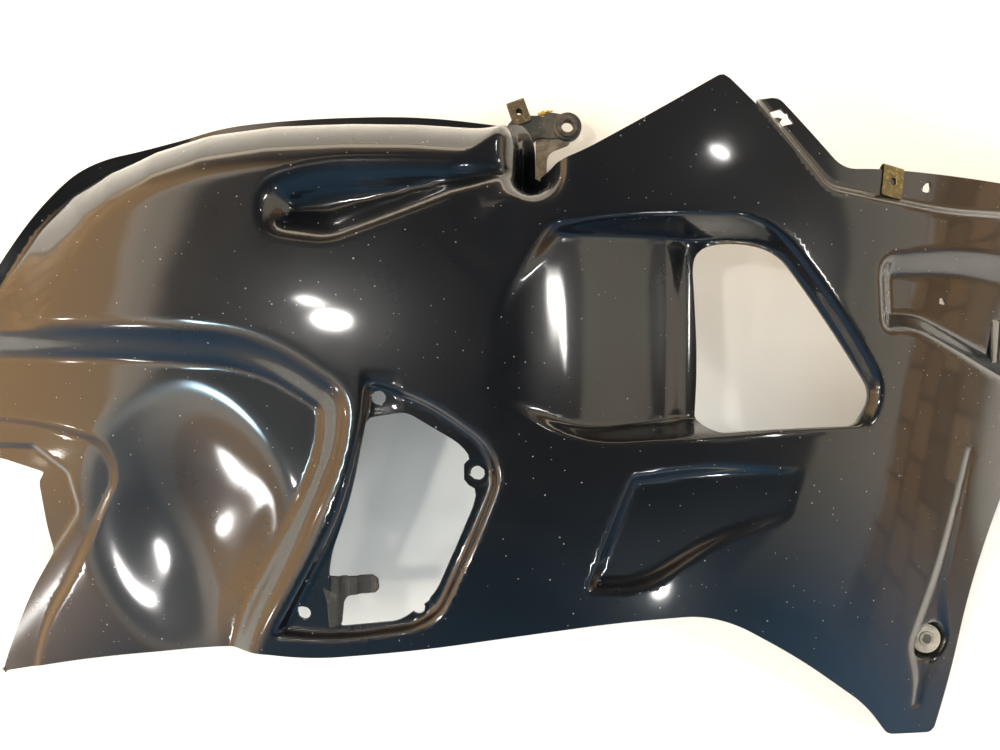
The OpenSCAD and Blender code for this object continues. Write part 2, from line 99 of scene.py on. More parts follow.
JOGGLED = [(-640, -28, 0), (-400, -36, FAR), (-330, -52, 30), (-318, -84, FAR), (-364, -170, FAR),
           (-404, -225, FAR), (-424, -300, 0), (-640, -300, 0)]
FLAP = [(-368, -82, 3), (-360, -113, 4), (-362, -121, 6), (-392, -158, 0), (-470, -158, 0), (-470, -60, 0),
        (-402, -60, 0)]
CHANNEL = [(396, -60, 4), (372, -162, FAR), (356, -212, FAR), (350, -235, FAR), (356, -252, FAR),
           (364, -275, FAR), (364, -300, 6), (378, -300, 6), (381, -272, FAR), (402, -236, FAR),
           (390, -190, FAR), (394, -162, FAR), (408, -60, 4)]
PAD, PAD_DEPTH = [(-104, 2, 2), (-76, 0, 4), (-76, -26, 3), (-104, -30, 3)], 1.2
PAD_SIDE = 2

# How a step changes along a field, each as the place where the change starts and the length it takes, in mm
ARCH_FOOT, FOOT_NARROWER, FOOT_SHALLOWER = (20, 120), 0.18, 0.16
ARCH_LEAN = 1.3
VENT_SLOPES = [(0.12, -14, 60), (0.76, 12, 140), (0.12, 132, 24)]
VENT_RISE, SCOOP_RUN = (160, 60), (250, 150)
LOBE_LEFT, LOBE_RIGHT, LOBE_SHARE = (-450, 170), (60, 60), 0.98
ROLL_NARROWS, ROLL_THINNER = (-30, 45), 0.7
DISH_AT, DISH_HALF, DISH_SIDE = (-262, -125), (105, 130), 60
LOBE_EDGE = [(28, 157), (29, 190), (18, 217), (-24, 223), (-70, 227), (-125, 229), (-190, 229), (-250, 224),
             (-300, 212), (-345, 191), (-378, 166), (-404, 132), (-420, 102), (-440, 64)]

# Bores and small holes
BOSSES = [(-93, -17.4), (-17, -75), (-65, -185), (-159, -193)]
BOSS_BORE = 11
BOSS_RING, RING_DEPTH, RING_SIDE = (12.5, 19), 1.4, 1.6
BOSS_SEAT = 12.5
CUP, CUP_D, CUP_DROP, CUP_DRAFT = (380, -235), 34, 14, 4
GROMMET_D, GROMMET_LIP, SLEEVE_D, SLEEVE_BORE = 26, 4, 13, 8
FLANGE_HOLE, FLANGE_BORE = (345, 151), 8
CUTOUT, CUTOUT_SIZE = (441, 30), (14, 38)
PEG_HOLE = [(207.7, 203.6, 1), (219, 207.2, 1), (229.2, 195.8, 1), (217.9, 193.1, 1), (216.3, 194.9, 0),
            (220, 198.6, 0.6), (217.4, 201.2, 0.6), (213.2, 198, 0)]
POCKET_HOLE, POCKET_HOLE_D = (372, 62), 6

# Clip nuts, bracket, lug
CLIP, CLIP_SIZE, CLIP_TURN = (311, 153), (19, 26), -10
ARM_TOP, ARM_THICK = 20.7, 5.0
EAR, SQUARE, SQUARE_SIZE, SQUARE_TURN = (60, 221), (17, 234), (16, 22), 20
ARM = [(6, 196, 3), (24, 196, 3), (32, 211, 5), (47, 210, 4), (68, 214, 8), (68, 230, 8), (46, 234, 4),
       (34, 231, 3), (14, 231, 3), (6, 222, 3)]
LEG = [(32, 164, 2), (41.5, 164, 2), (42, 198, 8), (64, 206, 6), (60, 218, 4), (32, 214, 3)]
ARM_SQUARE = [(-7.6, -12, 1), (7.6, -12, 1), (7.6, 9.5, 2), (-7.6, 9.5, 2)]
RESIDUE = [(36, 232.5, 1.9), (39.5, 233.6, 2.4), (43, 234.4, 1.9), (38, 230.6, 1.4), (45.8, 235, 1.2)]
LUG = [(-146, -160, 3), (-142, -172, 2), (-139, -182, 2), (-137, -203, 2), (-127.5, -201, 2),
       (-126, -183, 2), (-122, -177, 3), (-101, -175.5, 4), (-97, -172, 4), (-98, -163, 4), (-102, -161, 3),
       (-127, -162, 2), (-136, -161.5, 4)]
LUG_FOOT = (-142, -166)
WALL = 3.0

# Stage: the floor's width in m, the camera's height in the crown frame in mm and its angle of view in degrees
FLOOR_WIDTH, CAMERA_HEIGHT, VIEW_ANGLE = 12, 700, 66.45
BACKDROP = (0.93, 0.91, 0.87)

# Soft lamps that the gloss doesn't show: place and size in m, radiance and colour
FILLS = [("ceiling_fill", (0, 0, 3.2), 3.0, 3.0, 0.8, (1, 1, 1)),
         ("left_fill", (-2.6, 0, 1.1), 2.0, 1.0, 11, (1, 0.93, 0.82)),
         ("far_fill", (0, 2.6, 1.1), 2.0, 1.0, 14, (1, 0.88, 0.72)),
         ("near_fill", (0, -2.6, 1.1), 2.0, 1.0, 9, (0.88, 0.96, 1))]

# The room that the gloss reflects: colours by height above the horizon, 0 at it and 1 overhead
ROOM_STRENGTH = 4.5
LEFT_WALLS = [(0.0, (0.55, 0.34, 0.17)), (0.30, (0.60, 0.36, 0.16)), (0.575, (0.62, 0.38, 0.18)),
              (0.595, (0.78, 0.65, 0.50)), (0.65, (0.60, 0.52, 0.42)), (0.70, (0.045, 0.045, 0.042)),
              (1.0, (0.010, 0.010, 0.010))]
RIGHT_WALLS = [(0.0, (0.14, 0.09, 0.045)), (0.20, (0.20, 0.12, 0.055)), (0.33, (0.21, 0.13, 0.06)),
               (0.345, (0.36, 0.31, 0.25)), (0.50, (0.34, 0.30, 0.24)), (0.62, (0.30, 0.27, 0.21)),
               (0.65, (0.030, 0.028, 0.025)), (1.0, (0.010, 0.010, 0.010))]
NEAR_WALLS = [(0.0, (0.10, 0.11, 0.12)), (0.12, (0.05, 0.10, 0.16)), (0.45, (0.035, 0.085, 0.14)),
              (0.62, (0.022, 0.052, 0.078)), (0.80, (0.010, 0.030, 0.045)), (1.0, (0.010, 0.011, 0.012))]
FAR_WALLS = [(0.0, (1.0, 0.84, 0.62)), (0.08, (1.0, 0.84, 0.62)), (0.14, (0.08, 0.05, 0.03)),
             (0.40, (0.02, 0.017, 0.014)), (1.0, (0.010, 0.010, 0.010))]
SHELVES = {"Color1": (1.3, 1.25, 1.2), "Color2": (0.5, 0.5, 0.5), "Mortar": (0.08, 0.08, 0.09), "Scale": 5.0,
           "Mortar Size": 0.018, "Mortar Smooth": 0.1, "Brick Width": 0.55, "Row Height": 0.42, "Bias": -0.1}

# Its lamps: the place in mm where the gloss shows each, its angle from straight up and its azimuth in
# degrees, its width and height in m, its radiance and its colour
LAMP_DISTANCE = 2.2
LAMPS = [("lamp_crown", (-125, 46, 124), 24, 172, 0.14, 0.24, 110, (1, 0.97, 0.92)),
         ("lamp_crown_end", (-146, 56, 122), 27, 166, 0.05, 0.22, 50, (1, 0.97, 0.92)),
         ("lamp_ramp", (30, 41, 126), 40, 7, 0.80, 0.13, 34, (1, 0.97, 0.92)),
         ("lamp_peak", (168, 170, 122), 36, 52, 0.16, 0.036, 75, (1, 0.97, 0.92)),
         ("lamp_scoop", (124, -167, 109), 44, -64, 0.13, 0.08, 90, (1, 0.98, 0.95)),
         ("lamp_dish", (-289, -154, 38), 37, -141, 0.24, 0.12, 70, (1, 0.98, 0.95)),
         ("lamp_far_left", (-383, -58, 41), 63, -167, 0.07, 0.07, 70, (1, 0.95, 0.88)),
         ("lamp_low_left", (-215, -87, 70), 65, -150, 0.08, 0.32, 26, (1, 0.98, 0.95)),
         ("window", (-247, -13, 90), 45, -160, 0.42, 0.17, 22, (0.62, 0.86, 1))]


def rounded(corners, steps):
    """Closed curve through corners: at each, a quadratic curve between two points at its reach along the
    edges."""
    p = np.array(corners, float)
    q, before, after = p[:, :2], np.roll(p[:, :2], 1, 0), np.roll(p[:, :2], -1, 0)
    u, v = before - q, after - q
    lu, lv = np.linalg.norm(u, axis=1), np.linalg.norm(v, axis=1)
    r = np.minimum(p[:, 2], np.minimum(lu, lv) / 2)[:, None]
    start, end = q + u * r / lu[:, None], q + v * r / lv[:, None]
    t = np.linspace(0, 1, steps + 1)[None, :, None]
    curve = (1 - t) ** 2 * start[:, None] + 2 * t * (1 - t) * q[:, None] + t ** 2 * end[:, None]
    points = curve.reshape(-1, 2)
    step = np.linalg.norm(points - np.roll(points, 1, 0), axis=1)
    return points[step > 1e-6]


def circle(centre, diameter, steps=64):
    """Points of a circle, round its centre."""
    a = np.linspace(0, 2 * np.pi, steps, endpoint=False)
    return np.array(centre, float) + diameter / 2 * np.stack([np.cos(a), np.sin(a)], 1)


def oblong(centre, size, turn):
    """Corners of a rectangle turned clockwise by an angle in degrees."""
    c = np.array([[-1, -1], [1, -1], [1, 1], [-1, 1]]) * np.array(size) / 2
    a = np.radians(-turn)
    return np.array(centre, float) + c @ np.array([[np.cos(a), np.sin(a)], [-np.sin(a), np.cos(a)]])


def run_distance(p, run):
    """Distance from each point to an open run of points: the least of the distances to its segments."""
    best = np.full(len(p), 1e9)
    for a, b in zip(run[:-1], run[1:]):
        d = b - a
        t = np.clip((p - a) @ d / max(d @ d, 1e-9), 0, 1)
        best = np.minimum(best, ((p - a - t[:, None] * d) ** 2).sum(1))
    return np.sqrt(best)


def depth_in(p, loop, margin=1e9):
    """Distance from each point to a closed curve, positive inside; points past the margin round its box get
    -99."""
    out = np.full(len(p), -99.0)
    near = np.all((p > loop.min(0) - margin) & (p < loop.max(0) + margin), axis=1)
    q = p[near]
    if len(q):
        best, odd = np.full(len(q), 1e9), np.zeros(len(q), bool)
        for a, b in zip(loop, np.roll(loop, -1, 0)):
            d = b - a
            t = np.clip((q - a) @ d / max(d @ d, 1e-9), 0, 1)
            best = np.minimum(best, ((q - a - t[:, None] * d) ** 2).sum(1))
            spans = (a[1] > q[:, 1]) != (b[1] > q[:, 1])
            if spans.any():
                odd ^= spans & (q[:, 0] < d[0] * (q[:, 1] - a[1]) / (d[1] if d[1] else 1e-9) + a[0])
        out[near] = np.where(odd, 1, -1) * np.sqrt(best)
    return out


def nearest_on(p, loop):
    """The nearest point to each point on a closed curve."""
    best, spot = np.full(len(p), 1e9), p.copy()
    for a, b in zip(loop, np.roll(loop, -1, 0)):
        d = b - a
        q = a + np.clip((p - a) @ d / max(d @ d, 1e-9), 0, 1)[:, None] * d
        e = ((p - q) ** 2).sum(1)
        closer = e < best
        best[closer], spot[closer] = e[closer], q[closer]
    return spot


def ease(t):
    """Smooth step from 0 to 1: 3 t^2 - 2 t^3 between its ends."""
    t = np.clip(t, 0, 1)
    return t * t * (3 - 2 * t)


def quarter(t):
    """Quarter of a circle: 1 at the edge, falling to 0 at the crown with a level end."""
    u = np.clip(1 - t, 0, 1)
    return 1 - np.sqrt(1 - u * u)


def spline_weights(t):
    """Weights of the four control values of a uniform cubic B-spline at t, and their slopes."""
    w = np.stack([(1 - t) ** 3, 3 * t ** 3 - 6 * t ** 2 + 4, -3 * t ** 3 + 3 * t ** 2 + 3 * t + 1, t ** 3],
                 -1) / 6
    s = np.stack([-(1 - t) ** 2, 3 * t ** 2 - 4 * t, -3 * t ** 2 + 2 * t + 1, t ** 2], -1) / 2
    return w, s


def spline_sheet(net, x0, y0, dx, dy, p):
    """Height and slopes of a cubic B-spline sheet over a net of heights; the net runs on straight past its
    ends."""
    net = np.vstack([2 * net[0] - net[1], net, 2 * net[-1] - net[-2]])
    net = np.column_stack([2 * net[:, 0] - net[:, 1], net, 2 * net[:, -1] - net[:, -2]])
    u, v = (p[:, 0] - x0) / dx, (p[:, 1] - y0) / dy
    i = np.clip(np.floor(u), 0, net.shape[1] - 4).astype(int)
    j = np.clip(np.floor(v), 0, net.shape[0] - 4).astype(int)
    (a, sa), (b, sb) = spline_weights(u - i), spline_weights(v - j)
    k = np.arange(4)
    part = net[(j[:, None] + k)[:, :, None], (i[:, None] + k)[:, None, :]]
    z = np.einsum("nj,nji,ni->n", b, part, a)
    zx = np.einsum("nj,nji,ni->n", b, part, sa) / dx
    zy = np.einsum("nj,nji,ni->n", sb, part, a) / dy
    return z, zx, zy


def crown_z(p):
    """Height of the plain crown at each point: a cubic B-spline sheet over its net of heights."""
    return spline_sheet(CROWN, CROWN_X0, CROWN_Y0, CROWN_DX, CROWN_DY, p)[0]


def face_z(p, form):
    """Height of the painted face: the crown less the drop of every field in it. A field's drop is its depth
    times the smooth step of the distance inside its outline over its side's width; the lobe's wall falls
    towards the lobe's edge as a quarter of a circle does."""
    x, y = p[:, 0], p[:, 1]
    crown = crown_z(p)
    z = crown.copy()
    curve_steps = 24
    d = {name: depth_in(p, rounded(loop, curve_steps), 0) for name, loop in (
        ("arch", ARCH), ("ledge", LEDGE), ("vent", VENT), ("scoop", SCOOP), ("lobe", LOBE_POCKET),
        ("pocket", POCKET), ("flange", FLANGE), ("joggled", JOGGLED), ("flap", FLAP), ("channel", CHANNEL),
        ("pad", PAD))}
    d["cup"] = depth_in(p, circle(CUP, CUP_D), 0)
    off_x, off_y = (x - DISH_AT[0]) / DISH_HALF[0], (y - DISH_AT[1]) / DISH_HALF[1]
    dish = form.dish_depth * np.maximum(0, 1 - off_x ** 2 - off_y ** 2) ** 2
    foot = ease((ARCH_FOOT[0] - y) / ARCH_FOOT[1])
    into = np.maximum(d["arch"] / (form.arch_draft * (1 - FOOT_NARROWER * foot)), 0)
    arch = form.arch_step * (1 - FOOT_SHALLOWER * foot) * ease(into ** ARCH_LEAN)
    z -= arch + dish * ease(d["arch"] / DISH_SIDE)
    joggled = form.joggle * ease(d["joggled"] / form.joggle_draft)
    z -= joggled + form.flap_step * ease(d["flap"] / form.flap_draft)
    z -= form.channel_depth * ease(d["channel"] / form.channel_draft) + PAD_DEPTH * ease(d["pad"] / PAD_SIDE)
    for boss in BOSSES[1:3]:
        r = np.linalg.norm(p - np.array(boss), axis=1)
        outside, inside = r - BOSS_RING[0] / 2, BOSS_RING[1] / 2 + RING_SIDE / 2 - r
        z -= RING_DEPTH * ease(outside / RING_SIDE) * ease(inside / RING_SIDE)
    z -= form.ledge_depth * ease(d["ledge"] / form.ledge_draft)
    ramp = form.vent_depth * sum(share * ease((x - start) / length) for share, start, length in VENT_SLOPES)
    ramp -= (form.vent_depth - form.vent_rim) * ease((x - VENT_RISE[0]) / VENT_RISE[1])
    z -= ramp * ease(d["vent"] / form.vent_draft)
    z -= form.scoop_depth * ease((SCOOP_RUN[0] - x) / SCOOP_RUN[1]) * ease(d["scoop"] / form.scoop_draft)
    z -= form.lobe_pocket_depth * ease(d["lobe"] / form.lobe_pocket_draft)
    z -= form.pocket_depth * ease(d["pocket"] / form.pocket_draft)
    z -= form.flange_step * ease(d["flange"] / form.flange_draft)
    cup_floor = crown_z(np.array([CUP], float))[0] - CUP_DROP
    z -= (crown - cup_floor) * ease(d["cup"] / CUP_DRAFT)
    edge = np.full(len(p), 99.0)
    upper = y > 40
    edge[upper] = run_distance(p[upper], np.array(LOBE_EDGE, float))
    width = form.lobe_roll * (1 - ROLL_THINNER * ease((x - ROLL_NARROWS[0]) / ROLL_NARROWS[1]))
    fade = ease((x - LOBE_LEFT[0]) / LOBE_LEFT[1]) * ease((LOBE_RIGHT[0] - x) / LOBE_RIGHT[1])
    roll = fade * quarter((edge - form.lobe_lip) / width)
    z -= np.where(edge > form.lobe_roll + form.lobe_lip, 0, form.lobe_drop * LOBE_SHARE * roll)
    return z


def blurred(z, sigma):
    """Gaussian blur of a height map along both of its axes, which gives every edge its moulded fillet."""
    reach = 4
    k = np.arange(-reach, reach + 1)
    w = np.exp(-0.5 * (k / sigma) ** 2)
    w /= w.sum()
    for axis in (0, 1):
        padded = np.pad(z, [(reach, reach) if a == axis else (0, 0) for a in (0, 1)], mode="edge")
        n = z.shape[axis]
        z = sum(wk * np.take(padded, np.arange(n) + i, axis) for i, wk in enumerate(w))
    return z


class HeightMap:
    """The painted face as a fine blurred map, read back as a cubic B-spline sheet with its slopes."""

    def __init__(self, form):
        self.step = MAP_STEP
        xs = np.arange(*MAP_X, self.step)
        ys = np.arange(*MAP_Y, self.step)
        grid = np.stack(np.meshgrid(xs, ys), -1).reshape(-1, 2)
        self.x0, self.y0 = xs[0], ys[0]
        self.net = blurred(face_z(grid, form).reshape(len(ys), len(xs)), form.fillet / self.step)

    def at(self, p):
        """Height and slopes at each point."""
        return spline_sheet(self.net, self.x0, self.y0, self.step, self.step, p)


def cut(points, tris, value):
    """Splits the triangles along the line where value is 0, once per edge, so that neighbours stay joined."""
    side = np.sign(np.where(np.abs(value) < 1e-6, 0, value)).astype(int)
    edges = np.stack([tris, np.roll(tris, -1, 1)], -1)
    crossed = side[edges[..., 0]] * side[edges[..., 1]] < 0
    pairs = np.sort(edges[crossed], axis=1)
    unique, back = np.unique(pairs, axis=0, return_inverse=True)
    back = back.reshape(-1)
    fa, fb = value[unique[:, 0]], value[unique[:, 1]]
    t = (fa / (fa - fb))[:, None]
    new = points[unique[:, 0]] * (1 - t) + points[unique[:, 1]] * t
    mark = np.full(crossed.shape, -1)
    mark[crossed] = back + len(points)
    count = crossed.sum(1)
    out = [tris[count == 0]]
    one, m = tris[count == 1], mark[count == 1]
    if len(one):
        k = np.argmax(m >= 0, axis=1)
        r = np.arange(len(one))
        a, b, c, n = one[r, k], one[r, (k + 1) % 3], one[r, (k + 2) % 3], m[r, k]
        out += [np.stack([a, n, c], 1), np.stack([n, b, c], 1)]
    two, m = tris[count == 2], mark[count == 2]
    if len(two):
        k = (np.argmax(m < 0, axis=1) + 1) % 3
        r = np.arange(len(two))
        # edges k and k + 1 are crossed, so corner k + 1 is the lone one
        a, b, c = two[r, k], two[r, (k + 1) % 3], two[r, (k + 2) % 3]
        n, o = m[r, k], m[r, (k + 1) % 3]
        out += [np.stack([n, b, o], 1), np.stack([a, n, o], 1), np.stack([a, o, c], 1)]
    return np.vstack([points, new]), np.vstack(out), len(points)


def trimmed_sheet(outer, holes, step, folds=()):
    """Triangles over the inside of outer without the holes: a square grid whose points are drawn onto the
    edges that pass close by, split along the edges, with the triangles outside them left out. Folds are pairs
    of a loop and distances inside it: the triangles are also split along the lines at those distances, so
    that a narrow step gets edges that run along it."""
    lo, hi = outer.min(0) - step, outer.max(0) + step
    nx, ny = np.ceil((hi - lo) / step).astype(int) + 1
    gx, gy = np.meshgrid(np.arange(nx), np.arange(ny), indexing="ij")
    points = lo + np.stack([gx, gy], -1).reshape(-1, 2) * step
    i, j = np.meshgrid(np.arange(nx - 1), np.arange(ny - 1), indexing="ij")
    a = (i * ny + j).ravel()
    b, c, d = a + ny, a + ny + 1, a + 1
    even = ((i + j) % 2 == 0).ravel()
    first = np.where(even[:, None], np.stack([a, b, c], 1), np.stack([a, b, d], 1))
    second = np.where(even[:, None], np.stack([a, c, d], 1), np.stack([b, c, d], 1))
    tris = np.vstack([first, second])
    loops = [outer] + holes
    reach = 3 * step
    for loop in loops:
        value = depth_in(points, loop, reach)
        close = np.abs(value) < step * 0.3
        points[close] = nearest_on(points[close], loop)
    for k, loop in enumerate(loops):
        value = depth_in(points, loop, reach)
        value[np.abs(value) < 1e-3] = 0
        points, tris, old = cut(points, tris, value)
        points[old:] = nearest_on(points[old:], loop)
        inside = depth_in(points[tris].mean(1), loop, 0) > 0
        tris = tris[inside if k == 0 else ~inside]
    for loop, depths in folds:
        value = depth_in(points, loop, reach)
        for depth in depths:
            points, tris, old = cut(points, tris, np.where(np.abs(value - depth) < 0.12, 0, value - depth))
            value = np.concatenate([value, depth_in(points[old:], loop, reach)])
    e1, e2 = points[tris[:, 1]] - points[tris[:, 0]], points[tris[:, 2]] - points[tris[:, 0]]
    tris = tris[np.abs(e1[:, 0] * e2[:, 1] - e1[:, 1] * e2[:, 0]) > 1e-4]
    used, back = np.unique(tris, return_inverse=True)
    return points[used], back.reshape(-1, 3)


def free_edges(tris):
    """Edges that only one triangle has, in that triangle's direction."""
    e = np.vstack([tris[:, [0, 1]], tris[:, [1, 2]], tris[:, [2, 0]]])
    n = tris.max() + 1
    code, turned = e[:, 0] * n + e[:, 1], e[:, 1] * n + e[:, 0]
    return e[~np.isin(code, turned)]


def to_row(xyz):
    """Crown frame in mm to row frame in metres."""
    return (np.asarray(xyz, float) - np.array([MIDDLE_X, MIDDLE_Y, LOWEST])) * MM


def new_object(name, verts, faces, material):
    """A mesh object from arrays of corners and faces, in the row frame in metres."""
    mesh = bpy.data.meshes.new(name)
    verts = np.asarray(verts, float)
    if isinstance(faces, np.ndarray):
        n, k = faces.shape
        mesh.vertices.add(len(verts))
        mesh.vertices.foreach_set("co", verts.ravel())
        mesh.loops.add(n * k)
        mesh.loops.foreach_set("vertex_index", faces.ravel().astype(np.int32))
        mesh.polygons.add(n)
        mesh.polygons.foreach_set("loop_start", np.arange(0, n * k, k, dtype=np.int32))
        mesh.update(calc_edges=True)
    else:
        mesh.from_pydata(verts.tolist(), [], faces)
    mesh.polygons.foreach_set("use_smooth", np.ones(len(mesh.polygons), bool))
    mesh.materials.append(material)
    mesh.validate()
    mesh.update()
    obj = bpy.data.objects.new(name, mesh)
    bpy.context.scene.collection.objects.link(obj)
    return obj


def thick_sheet(name, flat, tris, top, under, normals, material, edge=0.5):
    """Closed moulded sheet: flat points with a top and an underside height, joined along their free edges by
    a rim whose profile is two quarter rounds of radius edge with a straight run between them. top and under
    take flat points (n, 2) and give places (n, 3); normals gives the top's unit normals, or None."""
    free = free_edges(tris)
    n = len(flat)
    run = flat[free[:, 1]] - flat[free[:, 0]]
    out = np.stack([run[:, 1], -run[:, 0]], 1)
    out /= np.maximum(np.linalg.norm(out, axis=1), 1e-9)[:, None]
    total = np.zeros((n, 2))
    np.add.at(total, free[:, 0], out)
    np.add.at(total, free[:, 1], out)
    total /= np.maximum(np.linalg.norm(total, axis=1), 1e-9)[:, None]
    rim = np.unique(free)
    inner = flat.copy()
    inner[rim] -= edge * total[rim]
    upper, lower = top(inner), under(inner)
    place = np.full(n, -1)
    place[rim] = np.arange(len(rim))
    # rim rings: the share of the way out and the drop from each face
    angles = np.radians([30, 60, 90])
    rings_up = [(edge * np.sin(a), edge * (1 - np.cos(a))) for a in angles]
    rings = [(o, d, True) for o, d in rings_up] + [(o, d, False) for o, d in rings_up[::-1]]
    down = lower[rim] - upper[rim]
    thick = np.linalg.norm(down, axis=1)[:, None]
    down = down / np.maximum(thick, 1e-9)
    sheets = [upper, lower]
    for out_by, drop, from_top in rings:
        moved = inner[rim] + out_by * total[rim]
        base = (top if from_top else under)(moved)
        sheets.append(base + (down if from_top else -down) * drop)
    verts = np.vstack(sheets)
    a, b = free[:, 0], free[:, 1]
    levels = [(a, b)]
    for k in range(len(rings)):
        start = 2 * n + k * len(rim)
        levels.append((start + place[a], start + place[b]))
    levels.append((a + n, b + n))
    faces = [tris, tris[:, ::-1] + n]
    for (a0, b0), (a1, b1) in zip(levels[:-1], levels[1:]):
        faces += [np.stack([b0, a0, a1], 1), np.stack([b0, a1, b1], 1)]
    faces = np.vstack(faces)
    obj = new_object(name, to_row(verts), faces, material)
    if normals is not None:
        mesh = obj.data
        if len(mesh.polygons) != len(faces):
            raise RuntimeError(f"{name}: {len(faces) - len(mesh.polygons)} faces were dropped as unsound")
        smooth = np.zeros(len(verts) * 3)
        mesh.vertex_normals.foreach_get("vector", smooth)
        smooth = smooth.reshape(-1, 3)
        corner = smooth[faces]
        exact = normals(inner)
        corner[:len(tris)] = exact[tris]
        corner[len(tris):2 * len(tris)] = -exact[tris[:, ::-1]]
        mesh.normals_split_custom_set(corner.reshape(-1, 3))
    return obj


def lathe(name, frame_of, profile, material, steps=96):
    """Ring or disc: a closed profile of (radius, height) turned once round the Z axis of a frame (turn,
    origin)."""
    turn, origin = frame_of
    profile = np.array(profile, float)
    k = len(profile)
    angle = np.linspace(0, 2 * np.pi, steps, endpoint=False)
    local = np.empty((steps, k, 3))
    local[..., 0] = np.cos(angle)[:, None] * profile[:, 0]
    local[..., 1] = np.sin(angle)[:, None] * profile[:, 0]
    local[..., 2] = profile[:, 1]
    i, j = np.meshgrid(np.arange(steps), np.arange(k), indexing="ij")
    i2, j2 = (i + 1) % steps, (j + 1) % k
    quads = np.stack([i * k + j, i2 * k + j, i2 * k + j2, i * k + j2], -1).reshape(-1, 4)
    return new_object(name, to_row(local.reshape(-1, 3) @ turn.T + origin), quads, material)


LEVEL = np.eye(3)


def bent_strip(name, outline, holes, path, thick, frame_of, material, step=1.2, edge=0.25):
    """Strip of sheet bent along a path: its flat outline is in (across, along), the path gives (Y, Z) for
    each length along it, and every flat point is carried to the path's point half a thickness out along its
    normal."""
    turn, origin = frame_of
    path = np.array(path, float)
    along = np.concatenate([[0], np.cumsum(np.linalg.norm(np.diff(path, axis=0), axis=1))])
    tangent = np.gradient(path, along, axis=0)
    tangent /= np.linalg.norm(tangent, axis=1)[:, None]
    flat, tris = trimmed_sheet(outline, holes, step)

    def read(p):
        """The path's point and its normal at each length along it."""
        spot = np.column_stack([np.interp(p[:, 1], along, path[:, k]) for k in (0, 1)])
        way = np.column_stack([np.interp(p[:, 1], along, tangent[:, k]) for k in (0, 1)])
        way /= np.linalg.norm(way, axis=1)[:, None]
        return spot, np.column_stack([-way[:, 1], way[:, 0]])

    def carried(p, out):
        """Flat points set beside the path, out along its normal."""
        spot, normal = read(p)
        local = np.column_stack([p[:, 0], spot + out * normal])
        return local @ turn.T + origin

    def normals(p):
        """The upper side's unit normals: the path's own."""
        return np.column_stack([np.zeros(len(p)), read(p)[1]]) @ turn.T

    return thick_sheet(name, flat, tris, lambda p: carried(p, thick / 2), lambda p: carried(p, -thick / 2),
                       normals, material, edge)


def plate(name, outline, holes, thick, frame_of, material, step=1.5, edge=0.4, rise=None):
    """Flat plate with rounded edges in a frame (turn, origin), its upper face at 0 or raised by
    rise(points)."""
    turn, origin = frame_of
    flat, tris = trimmed_sheet(outline, holes, step)

    def at(p, drop):
        """Flat points raised by rise and set down by a drop."""
        lift = rise(p) if rise else np.zeros(len(p))
        return np.column_stack([p, lift - drop]) @ turn.T + origin

    normals = None if rise else (lambda p: np.tile(turn[:, 2], (len(p), 1)))
    return thick_sheet(name, flat, tris, lambda p: at(p, 0), lambda p: at(p, thick), normals, material, edge)


def arc(centre, radius, start, end, steps=10):
    """Points of an arc from one angle to another, in degrees."""
    a = np.radians(np.linspace(start, end, steps))
    return np.array(centre, float) + radius * np.stack([np.cos(a), np.sin(a)], 1)


def softened(corners, radius, steps=5):
    """Closed profile with every corner rounded: a curve through the corners with the same reach at each."""
    return rounded([(x, y, radius) for x, y in corners], steps)


def turn_about_z(degrees):
    """Turn about the Z axis by an angle in degrees."""
    c, d = np.cos(np.radians(degrees)), np.sin(np.radians(degrees))
    return np.array([[c, -d, 0], [d, c, 0], [0, 0, 1.0]])


def frame_on_face(field, at):
    """Turn and shift that set a flat piece on the painted face at a point: columns are its X, Y and
    normal."""
    z, zx, zy = (v[0] for v in field.at(np.array([at], float)))
    n = np.array([-zx, -zy, 1.0])
    n /= np.linalg.norm(n)
    x = np.array([1.0, 0, zx])
    x /= np.linalg.norm(x)
    return np.stack([x, np.cross(n, x), n], 1), np.array([at[0], at[1], z])


